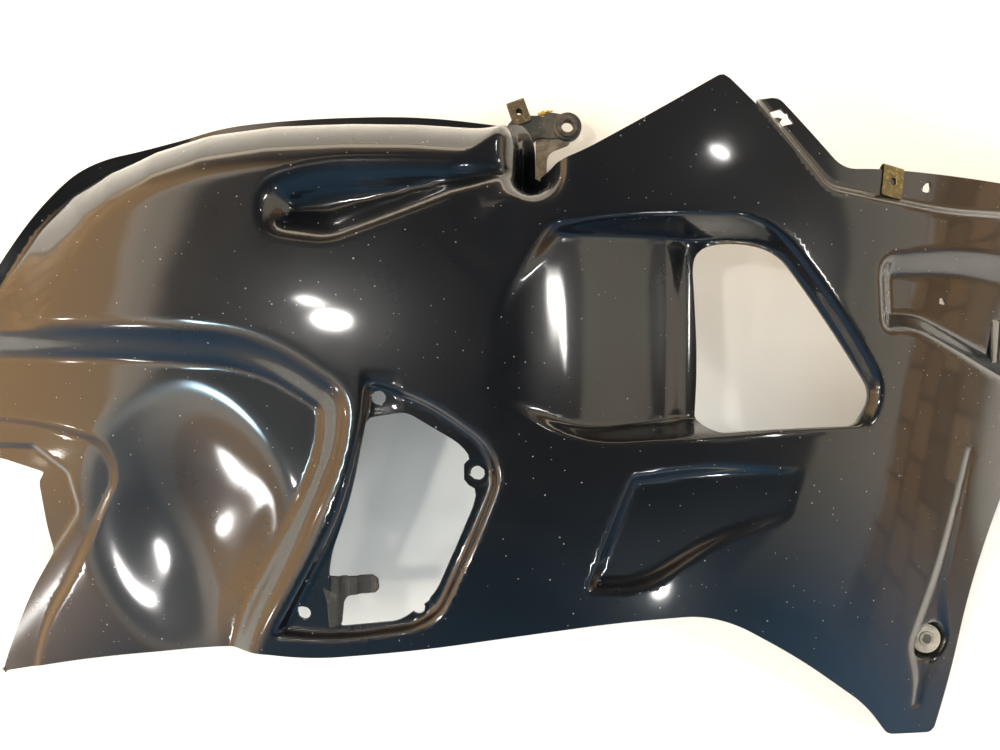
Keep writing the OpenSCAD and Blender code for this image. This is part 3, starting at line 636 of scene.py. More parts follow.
class Paintbox:
    """One node material with its shader, on Object coordinates, and short calls that add its nodes."""

    def __init__(self, name, **sockets):
        self.material = bpy.data.materials.new(name)
        self.material.use_nodes = True
        self.nodes = self.material.node_tree.nodes
        self.links = self.material.node_tree.links
        self.shader = self.nodes["Principled BSDF"]
        self.place = self.add("ShaderNodeTexCoord").outputs["Object"]
        self.set(**sockets)

    def add(self, kind, **settings):
        """A new node with its settings."""
        node = self.nodes.new(kind)
        for key, value in settings.items():
            setattr(node, key, value)
        return node

    def put(self, node, socket, value):
        """Gives a node's input a value, or links another node's output to it."""
        if isinstance(value, bpy.types.NodeSocket):
            self.links.new(value, node.inputs[socket])
        elif isinstance(value, (tuple, list)) and len(value) == 3 and node.inputs[socket].type == "RGBA":
            node.inputs[socket].default_value = (*value, 1)
        else:
            node.inputs[socket].default_value = value

    def set(self, **sockets):
        """Sets the shader's inputs; an underscore in a name stands for a space."""
        for key, value in sockets.items():
            self.put(self.shader, key.replace("_", " "), value)

    def noise(self, scale, detail=2.0, rough=0.5, twist=0.0, place=None):
        """Noise from 0 to 1, its scale per metre."""
        node = self.add("ShaderNodeTexNoise")
        self.put(node, "Vector", place or self.place)
        for key, value in (("Scale", scale), ("Detail", detail), ("Roughness", rough), ("Distortion", twist)):
            self.put(node, key, value)
        return node.outputs["Fac"]

    def stretched(self, turn, size):
        """Object coordinates turned about Z and stretched, for grain and strokes that run one way."""
        node = self.add("ShaderNodeMapping")
        self.put(node, "Vector", self.place)
        node.inputs["Rotation"].default_value = (0, 0, np.radians(turn))
        node.inputs["Scale"].default_value = size
        return node.outputs["Vector"]

    def span(self, value, low, high, to_low=0.0, to_high=1.0):
        """A value carried from one range to another and kept inside it."""
        node = self.add("ShaderNodeMapRange")
        for key, v in (("Value", value), ("From Min", low), ("From Max", high), ("To Min", to_low),
                       ("To Max", to_high)):
            self.put(node, key, v)
        return node.outputs["Result"]

    def math(self, operation, a, b=0.0):
        """One operation on one or two values."""
        node = self.add("ShaderNodeMath", operation=operation)
        self.put(node, 0, a)
        self.put(node, 1, b)
        return node.outputs[0]

    def mix(self, share, a, b):
        """Two colours mixed by the share of the second."""
        node = self.add("ShaderNodeMix", data_type="RGBA")
        self.put(node, 0, share)
        self.put(node, 6, a)
        self.put(node, 7, b)
        return node.outputs[2]

    def tinted(self, colour, by):
        """One colour times another."""
        node = self.add("ShaderNodeMix", data_type="RGBA", blend_type="MULTIPLY")
        self.put(node, 0, 1.0)
        self.put(node, 6, colour)
        self.put(node, 7, by)
        return node.outputs[2]

    def bump(self, height, strength, distance, under=None):
        """A normal bent by a height, over another normal where one is given."""
        node = self.add("ShaderNodeBump")
        self.put(node, "Height", height)
        self.put(node, "Strength", strength)
        self.put(node, "Distance", distance)
        if under:
            self.put(node, "Normal", under)
        return node.outputs["Normal"]

    def ramp(self, value, stops):
        """Colours by value, eased between stops of (value, colour)."""
        node = self.add("ShaderNodeValToRGB")
        self.put(node, 0, value)
        node.color_ramp.interpolation = "EASE"
        while len(node.color_ramp.elements) < len(stops):
            node.color_ramp.elements.new(0.5)
        for element, (at, colour) in zip(node.color_ramp.elements, stops):
            element.position = at
            element.color = (*colour, 1)
        return node.outputs["Color"]


class Roombox(Paintbox):
    """The same short calls for the world's nodes: directions in place of Object coordinates."""

    def __init__(self, name, strength):
        self.world = bpy.data.worlds.new(name)
        self.world.use_nodes = True
        self.nodes = self.world.node_tree.nodes
        self.links = self.world.node_tree.links
        self.back = self.nodes["Background"]
        self.place = self.add("ShaderNodeTexCoord").outputs["Generated"]
        self.put(self.back, "Strength", strength)


class Lampbox(Paintbox):
    """The same short calls for a lamp's nodes: the lit points' places in place of Object coordinates."""

    def __init__(self, data):
        data.use_nodes = True
        self.nodes = data.node_tree.nodes
        self.links = data.node_tree.links
        self.glow = self.nodes["Emission"]
        self.place = self.add("ShaderNodeNewGeometry").outputs["Position"]


def specks(box, per_metre, size, share):
    """Scattered round specks: cells of a cell pattern whose middle is nearer than size, in a share of the
    cells."""
    node = box.add("ShaderNodeTexVoronoi", feature="F1")
    box.put(node, "Vector", box.place)
    box.put(node, "Scale", per_metre)
    red = box.add("ShaderNodeSeparateColor")
    box.put(red, "Color", node.outputs["Color"])
    radius = box.math("MULTIPLY", red.outputs["Green"], size)
    near = box.math("LESS_THAN", node.outputs["Distance"], radius)
    chosen = box.math("LESS_THAN", red.outputs["Red"], share)
    return box.math("MULTIPLY", near, chosen)


def paint_material(look):
    """Deep black gloss: a hazy lobe under a clear one, with hairline swirls, dust specks and dull wiped
    patches."""
    box = Paintbox("gloss_paint", Coat_Weight=1.0, Coat_Roughness=look.coat_roughness, Coat_IOR=1.5,
                   Specular_IOR_Level=0.22, IOR=1.5)
    dust = specks(box, 95, 0.075, 0.45)
    fine = specks(box, 210, 0.12, 0.35)
    both = box.math("MAXIMUM", dust, fine)
    broad = box.span(box.noise(5, 3, 0.6), 0.35, 0.7)
    tone = box.mix(broad, tuple(look.paint), tuple(c * 1.5 for c in look.paint))
    box.set(Base_Color=box.mix(box.math("MULTIPLY", both, 0.5), tone, tuple(look.dust)))
    hairs = box.noise(420, 4, 0.6, 0.6, box.stretched(20, (1, 6, 1)))
    smear = box.noise(14, 4, 0.65, 1.2)
    box.set(Roughness=box.span(smear, 0.3, 0.75, look.haze, look.haze + 0.14))
    lumps = box.bump(both, 0.5, 0.0003)
    box.set(Normal=box.bump(hairs, 0.09, 0.0004, lumps), Coat_Normal=lumps)
    return box.material


def mould_material(look):
    """Bare moulded plastic of the lug: satin black with a fine grain and pale rub marks."""
    box = Paintbox("bare_plastic", Specular_IOR_Level=0.4)
    rub = box.span(box.noise(160, 5, 0.7), 0.55, 0.72)
    box.set(Base_Color=box.mix(rub, tuple(look.bare), tuple(2.6 * c for c in look.bare)))
    box.set(Roughness=box.span(box.noise(700, 3), 0.3, 0.7, 0.32, 0.55))
    box.set(Normal=box.bump(box.noise(900, 4), 0.2, 0.0004))
    return box.material


def zinc_material(name, colour, rough, pale):
    """Plated spring steel: cloudy passivation, darker blotches and fine scratches along the sheet."""
    box = Paintbox(name, Metallic=0.85)
    cloud = box.span(box.noise(130, 4, 0.6, 0.5), 0.3, 0.7)
    blot = box.span(box.noise(320, 3, 0.6), 0.52, 0.66)
    tone = box.mix(cloud, tuple(0.65 * c for c in colour), tuple(colour))
    box.set(Base_Color=box.mix(blot, tone, tuple(pale)))
    hair = box.noise(1500, 3, 0.6, 0, box.stretched(0, (1, 0.08, 1)))
    box.set(Roughness=box.span(hair, 0.3, 0.7, rough, rough + 0.2))
    box.set(Normal=box.bump(hair, 0.25, 0.0002))
    return box.material


def rubber_material(name, colour, dirt):
    """Aged rubber or bush: dull, with a darker cast of dirt and a fine skin."""
    box = Paintbox(name, Specular_IOR_Level=0.35)
    grime = box.span(box.noise(180, 5, 0.65, 0.4), 0.4, 0.68)
    box.set(Base_Color=box.mix(grime, tuple(colour), tuple(dirt)))
    box.set(Roughness=box.span(box.noise(600, 3), 0.3, 0.7, 0.5, 0.75))
    box.set(Normal=box.bump(box.noise(1100, 4), 0.25, 0.0004))
    return box.material


def black_steel_material(look):
    """Black painted steel that rubs to bare metal and dries brown in cloudy patches."""
    box = Paintbox("black_steel", Specular_IOR_Level=0.5)
    worn = box.span(box.noise(210, 5, 0.7), 0.6, 0.72)
    dry = box.span(box.noise(60, 4, 0.6), 0.45, 0.7)
    tone = box.mix(dry, tuple(look.steel), tuple(look.steel_dry))
    box.set(Base_Color=box.mix(worn, tone, (0.2, 0.18, 0.15)))
    box.set(Roughness=box.span(box.noise(400, 3), 0.3, 0.7, 0.35, 0.6))
    box.set(Normal=box.bump(box.noise(700, 4), 0.3, 0.0004))
    return box.material


def steel_material(name, colour):
    """Turned steel: dull zinc with fine rings of wear and dark pits."""
    box = Paintbox(name, Metallic=1.0)
    pit = box.span(box.noise(500, 4, 0.7), 0.6, 0.7)
    box.set(Base_Color=box.mix(pit, tuple(colour), tuple(0.35 * c for c in colour)))
    box.set(Roughness=box.span(box.noise(350, 3), 0.3, 0.7, 0.28, 0.5))
    box.set(Normal=box.bump(box.noise(900, 3), 0.2, 0.0003))
    return box.material


def leg_floor_reflection_material(look):
    """The leg's beige: a painted reflection of the pale floor, darker where it is rubbed."""
    box = Paintbox("leg_floor_reflection", Specular_IOR_Level=0.4)
    rub = box.span(box.noise(150, 5, 0.65), 0.35, 0.68)
    # painted reflection: the beige stands in for the pale floor seen in the leg; the darker patches are
    # rubbing
    box.set(Base_Color=box.mix(rub, tuple(look.leg), tuple(0.45 * c for c in look.leg)))
    box.set(Roughness=box.span(box.noise(500, 3), 0.3, 0.7, 0.4, 0.65))
    box.set(Normal=box.bump(box.noise(800, 4), 0.25, 0.0004))
    return box.material


def ringed_material(name, colour, dirt, centre, metallic, per_metre):
    """Turned rings round a centre, with dirt in cloudy patches: a sine of the distance from the axis."""
    box = Paintbox(name, Metallic=metallic, Specular_IOR_Level=0.5)
    middle = to_row(centre)
    shift = box.add("ShaderNodeMapping")
    box.put(shift, "Vector", box.place)
    shift.inputs["Location"].default_value = (-middle[0], -middle[1], 0)
    shift.inputs["Scale"].default_value = (1, 1, 0)
    length = box.add("ShaderNodeVectorMath", operation="LENGTH")
    box.put(length, 0, shift.outputs["Vector"])
    wobble = box.math("ADD", length.outputs["Value"], box.math("MULTIPLY", box.noise(300, 2), 0.0006))
    ring = box.math("SINE", box.math("MULTIPLY", wobble, per_metre * 2.0))
    grime = box.span(box.noise(170, 5, 0.65, 0.4), 0.42, 0.7)
    tone = box.mix(box.span(ring, -1, 1, 0.0, 0.35), tuple(colour), tuple(0.7 * c for c in colour))
    box.set(Base_Color=box.mix(grime, tone, tuple(dirt)))
    box.set(Roughness=box.span(box.noise(600, 3), 0.3, 0.7, 0.42, 0.62))
    box.set(Normal=box.bump(ring, 0.35, 0.0003))
    return box.material


def floor_material(look):
    """Pale floor: a nearly flat tone with faint cloudy variation and a fine grain."""
    box = Paintbox("pale_floor", Specular_IOR_Level=0.15)
    cloud = box.span(box.noise(1.6, 3, 0.5), 0.3, 0.7)
    box.set(Base_Color=box.mix(cloud, tuple(0.97 * c for c in look.floor), tuple(look.floor)))
    box.set(Roughness=box.span(box.noise(60, 3), 0.3, 0.7, 0.8, 0.92))
    return box.material


class FairingForm(bpy.types.PropertyGroup):
    """Sizes of the panel, in mm."""
    wall: FloatProperty(name="Wall", description="Thickness of the moulded wall, in mm", default=WALL, min=1)
    mesh_step: FloatProperty(name="Mesh step", description="Spacing of the mesh, in mm", default=4, min=2)
    fillet: FloatProperty(name="Fillet", description="Softness of every moulded edge, in mm", default=1.6,
                          min=0.5)
    lobe_drop: FloatProperty(name="Lobe drop", description="Drop of the lobe's rolled wall, in mm",
                             default=92)
    lobe_roll: FloatProperty(name="Lobe roll", description="Width over which that wall rolls, in mm",
                             default=62)
    lobe_lip: FloatProperty(name="Lobe lip", description="Width of the lip outside it, in mm", default=12)
    lobe_pocket_depth: FloatProperty(name="Lobe pocket", description="Depth of the lobe's pocket, in mm",
                                     default=24)
    lobe_pocket_draft: FloatProperty(name="Lobe pocket side", description="Width of its sides, in mm",
                                     default=34)
    arch_step: FloatProperty(name="Arch step", description="Step down at the wheel arch, in mm", default=22)
    arch_draft: FloatProperty(name="Arch side", description="Width of that step, in mm", default=44)
    dish_depth: FloatProperty(name="Dish", description="Depth of the dished field under it, in mm",
                              default=17)
    joggle: FloatProperty(name="Joggle", description="Step at the lower left edge, in mm", default=2.5)
    joggle_draft: FloatProperty(name="Joggle side", description="Width of that step, in mm", default=8)
    flap_step: FloatProperty(name="Flap", description="Step down to the left flap, in mm", default=3)
    flap_draft: FloatProperty(name="Flap side", description="Width of that step, in mm", default=3)
    channel_depth: FloatProperty(name="Channel", description="Depth of the groove by the mount, in mm",
                                 default=2.6)
    channel_draft: FloatProperty(name="Channel side", description="Width of its sides, in mm", default=12)
    ledge_depth: FloatProperty(name="Ledge", description="Depth of the access opening's ledge, in mm",
                               default=8)
    ledge_draft: FloatProperty(name="Ledge side", description="Width of its sides, in mm", default=6)
    vent_depth: FloatProperty(name="Vent", description="Depth of the vent's ramp, in mm", default=52)
    vent_rim: FloatProperty(name="Vent rim", description="Depth of the vent's rim, in mm", default=15)
    vent_draft: FloatProperty(name="Vent side", description="Width of the vent's sides, in mm", default=12)
    scoop_depth: FloatProperty(name="Scoop", description="Depth of the scoop, in mm", default=11)
    scoop_draft: FloatProperty(name="Scoop side", description="Width of its sides, in mm", default=7)
    pocket_depth: FloatProperty(name="Right pocket", description="Depth of the right pocket, in mm",
                                default=20)
    pocket_draft: FloatProperty(name="Right pocket side", description="Width of its sides, in mm", default=24)
    flange_step: FloatProperty(name="Flange", description="Step down to the flange, in mm", default=8)
    flange_draft: FloatProperty(name="Flange side", description="Width of that step, in mm", default=6)


class FairingLook(bpy.types.PropertyGroup):
    """Colours and gloss of the finishes."""
    paint: FloatVectorProperty(name="Paint", description="Black of the paint", subtype="COLOR",
                               default=(0.0025, 0.003, 0.004))
    dust: FloatVectorProperty(name="Dust", description="Colour of the dust specks", subtype="COLOR",
                              default=(0.50, 0.49, 0.46))
    coat_roughness: FloatProperty(name="Clear coat", description="Roughness of the clear coat",
                                  subtype="FACTOR",
                                  default=0.075, min=0, max=1)
    haze: FloatProperty(name="Haze", description="Roughness under the clear coat", subtype="FACTOR",
                        default=0.26, min=0, max=1)
    bare: FloatVectorProperty(name="Bare plastic", description="Black of the unpainted lug", subtype="COLOR",
                              default=(0.022, 0.022, 0.020))
    olive: FloatVectorProperty(name="Olive zinc", description="Plating of the flange's clip nut",
                               subtype="COLOR",
                               default=(0.20, 0.165, 0.08))
    brown: FloatVectorProperty(name="Brown zinc", description="Plating of the bracket's clip nut",
                               subtype="COLOR",
                               default=(0.20, 0.165, 0.11))
    grommet: FloatVectorProperty(name="Grommet", description="Pale rubber of the grommet", subtype="COLOR",
                                 default=(0.46, 0.41, 0.33))
    bush: FloatVectorProperty(name="Bush", description="Dark bush of the ear", subtype="COLOR",
                              default=(0.035, 0.032, 0.03))
    steel: FloatVectorProperty(name="Black steel", description="Paint of the bracket", subtype="COLOR",
                               default=(0.03, 0.033, 0.03))
    steel_dry: FloatVectorProperty(name="Dry steel", description="Brown cast of its old paint",
                                   subtype="COLOR",
                                   default=(0.10, 0.085, 0.065))
    # painted reflection: the leg's beige stands in for the pale floor seen in it
    leg: FloatVectorProperty(name="Leg floor reflection", description="Beige paint of the bracket's leg",
                             subtype="COLOR",
                             default=(0.27, 0.22, 0.16))
    zinc: FloatVectorProperty(name="Bright zinc", description="Sleeve and screws", subtype="COLOR",
                              default=(0.50, 0.48, 0.44))
    floor: FloatVectorProperty(name="Floor", description="Pale floor", subtype="COLOR",
                               default=(0.80, 0.78, 0.73))


def form_and_look():
    """The scene's sizes and its colours."""
    scene = bpy.context.scene
    return scene.fairing_form, scene.fairing_look


_fields = {}


def height_map():
    """The painted face's height map, worked out once for all pieces that sit on it."""
    if "face" not in _fields:
        _fields["face"] = HeightMap(bpy.context.scene.fairing_form)
    return _fields["face"]


def settle(obj, slot_name, *nodes):
    """Lets a finished piece ride on the panel's body and stand for its CAD nodes, which it hides; its slot
    name is not used.
    """
    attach(obj, "root")
    if nodes:
        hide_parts(*nodes)
    return obj


class FAIRING_OT_panel(bpy.types.Operator):
    """Make the moulded panel: painted face, underside one wall below it, and rounded rims"""
    bl_idname = "fairing.panel"
    bl_label = "Moulded panel"

    def execute(self, context):
        form, look = form_and_look()
        face = height_map()
        smooth = 12
        opening = rounded(OPENING, smooth)
        # the opening keeps clear of each boss's seat
        for boss in BOSSES[:3]:
            away = opening - np.array(boss)
            far = np.linalg.norm(away, axis=1)
            near = far < BOSS_SEAT
            opening[near] = np.array(boss) + away[near] / far[near, None] * BOSS_SEAT
        holes = [rounded(VENT_HOLE, smooth), opening, rounded(PEG_HOLE, 3),
                 circle(POCKET_HOLE, POCKET_HOLE_D, 24),
                 oblong(CUTOUT, CUTOUT_SIZE, 0), circle(CUP, GROMMET_D - 6, 48),
                 circle(FLANGE_HOLE, FLANGE_BORE, 32)]
        holes += [circle(b, BOSS_BORE, 40) for b in BOSSES]
        folds = [(rounded(loop, 10), np.linspace(-1, width + 1, 5)) for loop, width in (
            (LEDGE, form.ledge_draft), (SCOOP, form.scoop_draft), (FLANGE, form.flange_draft),
            (JOGGLED, form.joggle_draft), (FLAP, form.flap_draft))]
        folds += [(rounded(VENT, 10), np.linspace(-1, form.vent_draft + 1, 6)),
                  (circle(CUP, CUP_D, 40), (-1, 0.5, 2, 3.5, 5)), (rounded(CHANNEL, 10), (0, 4, 8, 12)),
                  (rounded(OUTLINE, 10), form.lobe_lip + np.array([-1, 1, 4, 9]))]
        folds += [(circle(b, BOSS_RING[1], 40), (-1, 0.5, 2, 3.5)) for b in BOSSES[1:3]]
        flat, tris = trimmed_sheet(rounded(OUTLINE, smooth), holes, form.mesh_step, folds)

        def top(p):
            """The painted face over each flat point."""
            return np.column_stack([p, face.at(p)[0]])

        def under(p):
            """One wall below the face: straight down by the wall times the secant of the face's tilt, to a
            limit."""
            z, zx, zy = face.at(p)
            return np.column_stack([p, z - form.wall * np.sqrt(1 + np.minimum(zx ** 2 + zy ** 2, 5))])

        def normals(p):
            """Unit normals: the negative slopes and one, over their length."""
            z, zx, zy = face.at(p)
            n = np.column_stack([-zx, -zy, np.ones(len(p))])
            return n / np.linalg.norm(n, axis=1)[:, None]

        panel = thick_sheet("moulded_panel", flat, tris, top, under, normals, paint_material(look))
        settle(panel, "gloss_paint", "fairing_panel")
        return {"FINISHED"}


class FAIRING_OT_clip_nuts(bpy.types.Operator):
    """Make the two clip nuts: spring sheet folded over an edge, with a threaded collar under its hole"""
    bl_idname = "fairing.clip_nuts"
    bl_label = "Clip nuts"

    def execute(self, context):
        form, look = form_and_look()
        face = height_map()
        turn, origin = frame_on_face(face, CLIP)
        self.nut("flange_nut", CLIP_SIZE, form.wall, (turn @ turn_about_z(CLIP_TURN), origin),
                 zinc_material("olive_zinc", look.olive, 0.34, (0.36, 0.29, 0.12)), "olive_zinc",
                 "flange_clip_nut")
        at = (turn_about_z(SQUARE_TURN), np.array([*SQUARE, ARM_TOP]))
        self.nut("bracket_nut", SQUARE_SIZE, ARM_THICK, at,
                 zinc_material("dark_zinc", look.brown, 0.42, (0.30, 0.24, 0.16)), "dark_zinc",
                 "bracket_clip_nut")
        return {"FINISHED"}

    def nut(self, name, size, gripped, frame_of, material, slot_name, node):
        """Upper leaf, a round fold and a lower leaf, drawn as one path seen from the side; then the
        collar."""
        width, length = size
        sheet, bore, gap = 1.0, 4.4, 0.3
        lower_end, lip_end = 0.36, 0.40
        high = gap + sheet / 2
        low = -gripped - gap - sheet / 2
        bend = (high - low) / 2
        end = length / 2 - bend
        fold = arc((end, (high + low) / 2), bend, -90, 90, 14)
        path = np.vstack([[-length * lip_end, low - 1.2], [-length * lower_end, low], fold,
                          [-length / 2 + 1.5, high], [-length / 2, high + 0.5]])
        run = np.concatenate([[0], np.cumsum(np.linalg.norm(np.diff(path, axis=0), axis=1))])
        total = run[-1]
        upper = total - length / 2 - 0.1
        lower = length * lower_end + run[1]
        outline = rounded([(-width / 2, 0, 2.5), (width / 2, 0, 2.5), (width / 2, total, 2.5),
                           (-width / 2, total, 2.5)], 6)
        holes = [circle((0, upper), bore + 1.6, 28), circle((0, lower), bore, 28)]
        leaf = bent_strip(name, outline, holes, path, sheet, frame_of, material, 1.1)
        settle(leaf, slot_name, node)
        r = bore / 2
        collar = [(r, low - 4), (r + 1.2, low - 4), (r + 2.2, low - 1), (r + 2.4, low), (r + 2.4, low + 0.5),
                  (r, low + 0.5)]
        pitch, crest = 0.9, 0.12
        thread = [(r - crest * (1 + np.cos(2 * np.pi * t / pitch)), low + 0.4 - t)
                  for t in np.arange(0, 3.6, 0.15)]
        ring = lathe(name + "_collar", frame_of, collar[:-1] + thread, material, 48)
        settle(ring, slot_name)


class FAIRING_OT_bracket(bpy.types.Operator):
    """Make the upper bracket: arm, leg, round ear with its bush, and the dried residue on its edge"""
    bl_idname = "fairing.bracket"
    bl_label = "Upper bracket"

    def execute(self, context):
        look = context.scene.fairing_look
        steel = black_steel_material(look)
        level = (LEVEL, np.array([0, 0, ARM_TOP]))
        at_square = (turn_about_z(SQUARE_TURN), np.array([*SQUARE, ARM_TOP]))
        at_ear = (LEVEL, np.array([*EAR, ARM_TOP]))
        under_arm = (LEVEL, np.array([0, 0, ARM_TOP - 1.6]))
        arm = plate("bracket_arm", rounded(ARM, 6), [circle(EAR, 17, 48)], ARM_THICK, level, steel, 1.5, 0.7)
        settle(arm, "black_steel", "top_bracket")
        square = plate("bracket_end", rounded(ARM_SQUARE, 5), [circle((0, 0), 6.4, 24)], ARM_THICK, at_square,
                       steel, 1.5, 0.6)
        settle(square, "black_steel")
        # the leg's beige material is a painted reflection of the pale floor
        leg = plate("bracket_leg", rounded(LEG, 6), [], 3.0, under_arm, leg_floor_reflection_material(look), 1.5, 0.6)
        settle(leg, "black_steel")
        low, r, rim_r = -ARM_THICK - 1.6, 8.6, 12.6
        rim = softened([(r, low), (rim_r, low), (rim_r, 1.6), (r, 1.6)], 1.4)
        settle(lathe("ear_rim", at_ear, rim, steel, 96), "black_steel")
        bush = rubber_material("black_rubber", look.bush, (0.12, 0.10, 0.08))
        profile = softened([(5.5, -ARM_THICK - 2.5), (9, -ARM_THICK - 2.5), (9, -ARM_THICK), (r, -ARM_THICK),
                            (r, 0.4), (9.4, 0.6), (9.4, 2.4), (5.5, 2.4)], 0.5)
        settle(lathe("bush", at_ear, profile, bush, 80), "black_rubber", "ear_bush")
        self.residue()
        return {"FINISHED"}

    def residue(self):
        """Dried yellow lumps: spheres whose radius swells and shrinks with a sum of sines of both angles."""
        box = Paintbox("dried_residue", Specular_IOR_Level=0.6)
        spot = box.span(box.noise(500, 4, 0.6), 0.4, 0.62)
        box.set(Base_Color=box.mix(spot, (0.62, 0.42, 0.10), (0.22, 0.12, 0.02)), Roughness=0.35)
        around, down = 40, 24
        u, v = np.meshgrid(np.linspace(0, 2 * np.pi, around, endpoint=False),
                           np.linspace(0.04, np.pi - 0.04, down), indexing="ij")
        i, j = np.meshgrid(np.arange(around), np.arange(down - 1), indexing="ij")
        here, there = i * down + j, (i + 1) % around * down + j
        lump = np.stack([here, here + 1, there + 1, there], -1).reshape(-1, 4)
        verts, quads = [], []
        for k, (x, y, size) in enumerate(RESIDUE):
            slow, quick = np.sin(3 * u + k) * np.sin(2 * v), np.sin(5 * u + 2 * k) * np.sin(3 * v)
            swell = size * (1 + 0.16 * slow + 0.12 * quick)
            point = np.stack([x + 1.25 * swell * np.sin(v) * np.cos(u),
                              y + 0.8 * swell * np.sin(v) * np.sin(u),
                              ARM_TOP - 0.6 + 0.8 * swell * np.cos(v)], -1)
            quads.append(k * around * down + lump)
            verts.append(point.reshape(-1, 3))
        lumps = new_object("residue", to_row(np.vstack(verts)), np.vstack(quads), box.material)
        settle(lumps, "black_steel")


class FAIRING_OT_mount(bpy.types.Operator):
    """Make the lower mount: pale grommet with a groove for the cup's floor, and the sleeve in it"""
    bl_idname = "fairing.mount"
    bl_label = "Lower mount"

    def execute(self, context):
        form, look = form_and_look()
        floor = crown_z(np.array([CUP], float))[0] - CUP_DROP
        at = (LEVEL, np.array([*CUP, floor]))
        r, neck, s, lip = GROMMET_D / 2, GROMMET_D / 2 - 3, SLEEVE_D / 2, GROMMET_LIP
        profile = softened([(s, -form.wall - lip), (r, -form.wall - lip), (r, -form.wall), (neck, -form.wall),
                            (neck, 0), (r, 0), (r, lip), (s + 0.6, lip + 0.4), (s, lip + 0.2)], 0.7)
        pale = ringed_material("pale_rubber", look.grommet, (0.25, 0.22, 0.16), at[1], 0.0, 1500)
        settle(lathe("grommet", at, profile, pale, 96), "pale_rubber", "mount_grommet")
        b = SLEEVE_BORE / 2
        low, high = -form.wall - lip, lip + 1
        tube = softened([(b, low), (s, low), (s, high), (b, high)], 0.5)
        metal = ringed_material("bright_steel", look.zinc, (0.30, 0.27, 0.20), at[1], 0.75, 2600)
        settle(lathe("sleeve", at, tube, metal, 72), "bright_steel", "mount_sleeve")
        return {"FINISHED"}


class FAIRING_OT_lug(bpy.types.Operator):
    """Make the bare moulded hook beside the access opening"""
    bl_idname = "fairing.lug"
    bl_label = "Hook lug"

    def execute(self, context):
        look = context.scene.fairing_look
        base = height_map().at(np.array([LUG_FOOT], float))[0][0]

        def rise(p):
            """Steps across the hook: down past its root, up to its ridge, down again, and up at its tip."""
            x = p[:, 0]
            return (-3.0 * ease((x + 130) / 3) + 2.6 * ease((x + 123.5) / 1.2) - 2.6 * ease((x + 114.5) / 1.2)
                    + 2.2 * ease((x + 103) / 2.5))

        lug = plate("hook_lug", rounded(LUG, 5), [], 2.6, (LEVEL, np.array([0, 0, base - 1.0])),
                    mould_material(look), 0.9, 0.5, rise)
        settle(lug, "gloss_paint")
        return {"FINISHED"}


class FAIRING_OT_pocket_fittings(bpy.types.Operator):
    """Make the small plate at the right pocket's cut-out and its two screws"""
    bl_idname = "fairing.pocket_fittings"
    bl_label = "Pocket fittings"

    def execute(self, context):
        look = context.scene.fairing_look
        face = height_map().at(np.array([CUTOUT], float))[0][0]
        left = CUTOUT[0] - CUTOUT_SIZE[0] / 2
        sideways = np.array([[0, 0, 1.0], [1, 0, 0], [0, 1, 0]])
        half = CUTOUT_SIZE[1] / 2
        screws, thick = (-10, 10), 2.0
        outline = rounded([(-half, -7, 1.5), (half, -7, 1.5), (half, 7, 3), (-half, 7, 3)], 6)
        leaf = plate("side_plate", outline, [circle((y, 0), 4.2, 24) for y in screws], thick,
                     (sideways, np.array([left + thick, CUTOUT[1], face - 2])), black_steel_material(look),
                     1.2, 0.35)
        settle(leaf, "black_steel", "pocket_bracket")
        metal = steel_material("screw_steel", look.zinc)
        head = [(0.01, 2.9), (1.4, 2.8), (2.5, 2.3), (3.2, 1.4), (3.5, 0.5), (3.5, 0), (2, 0), (2, -4),
                (0.01, -4)]
        for k, y in enumerate(screws):
            at = (sideways, np.array([left + thick, CUTOUT[1] + y, face - 2]))
            screw = settle(lathe(f"screw_{k + 1}", at, head, metal, 40), "bright_steel")
            if k == 0:
                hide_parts("pocket_screws")
        return {"FINISHED"}


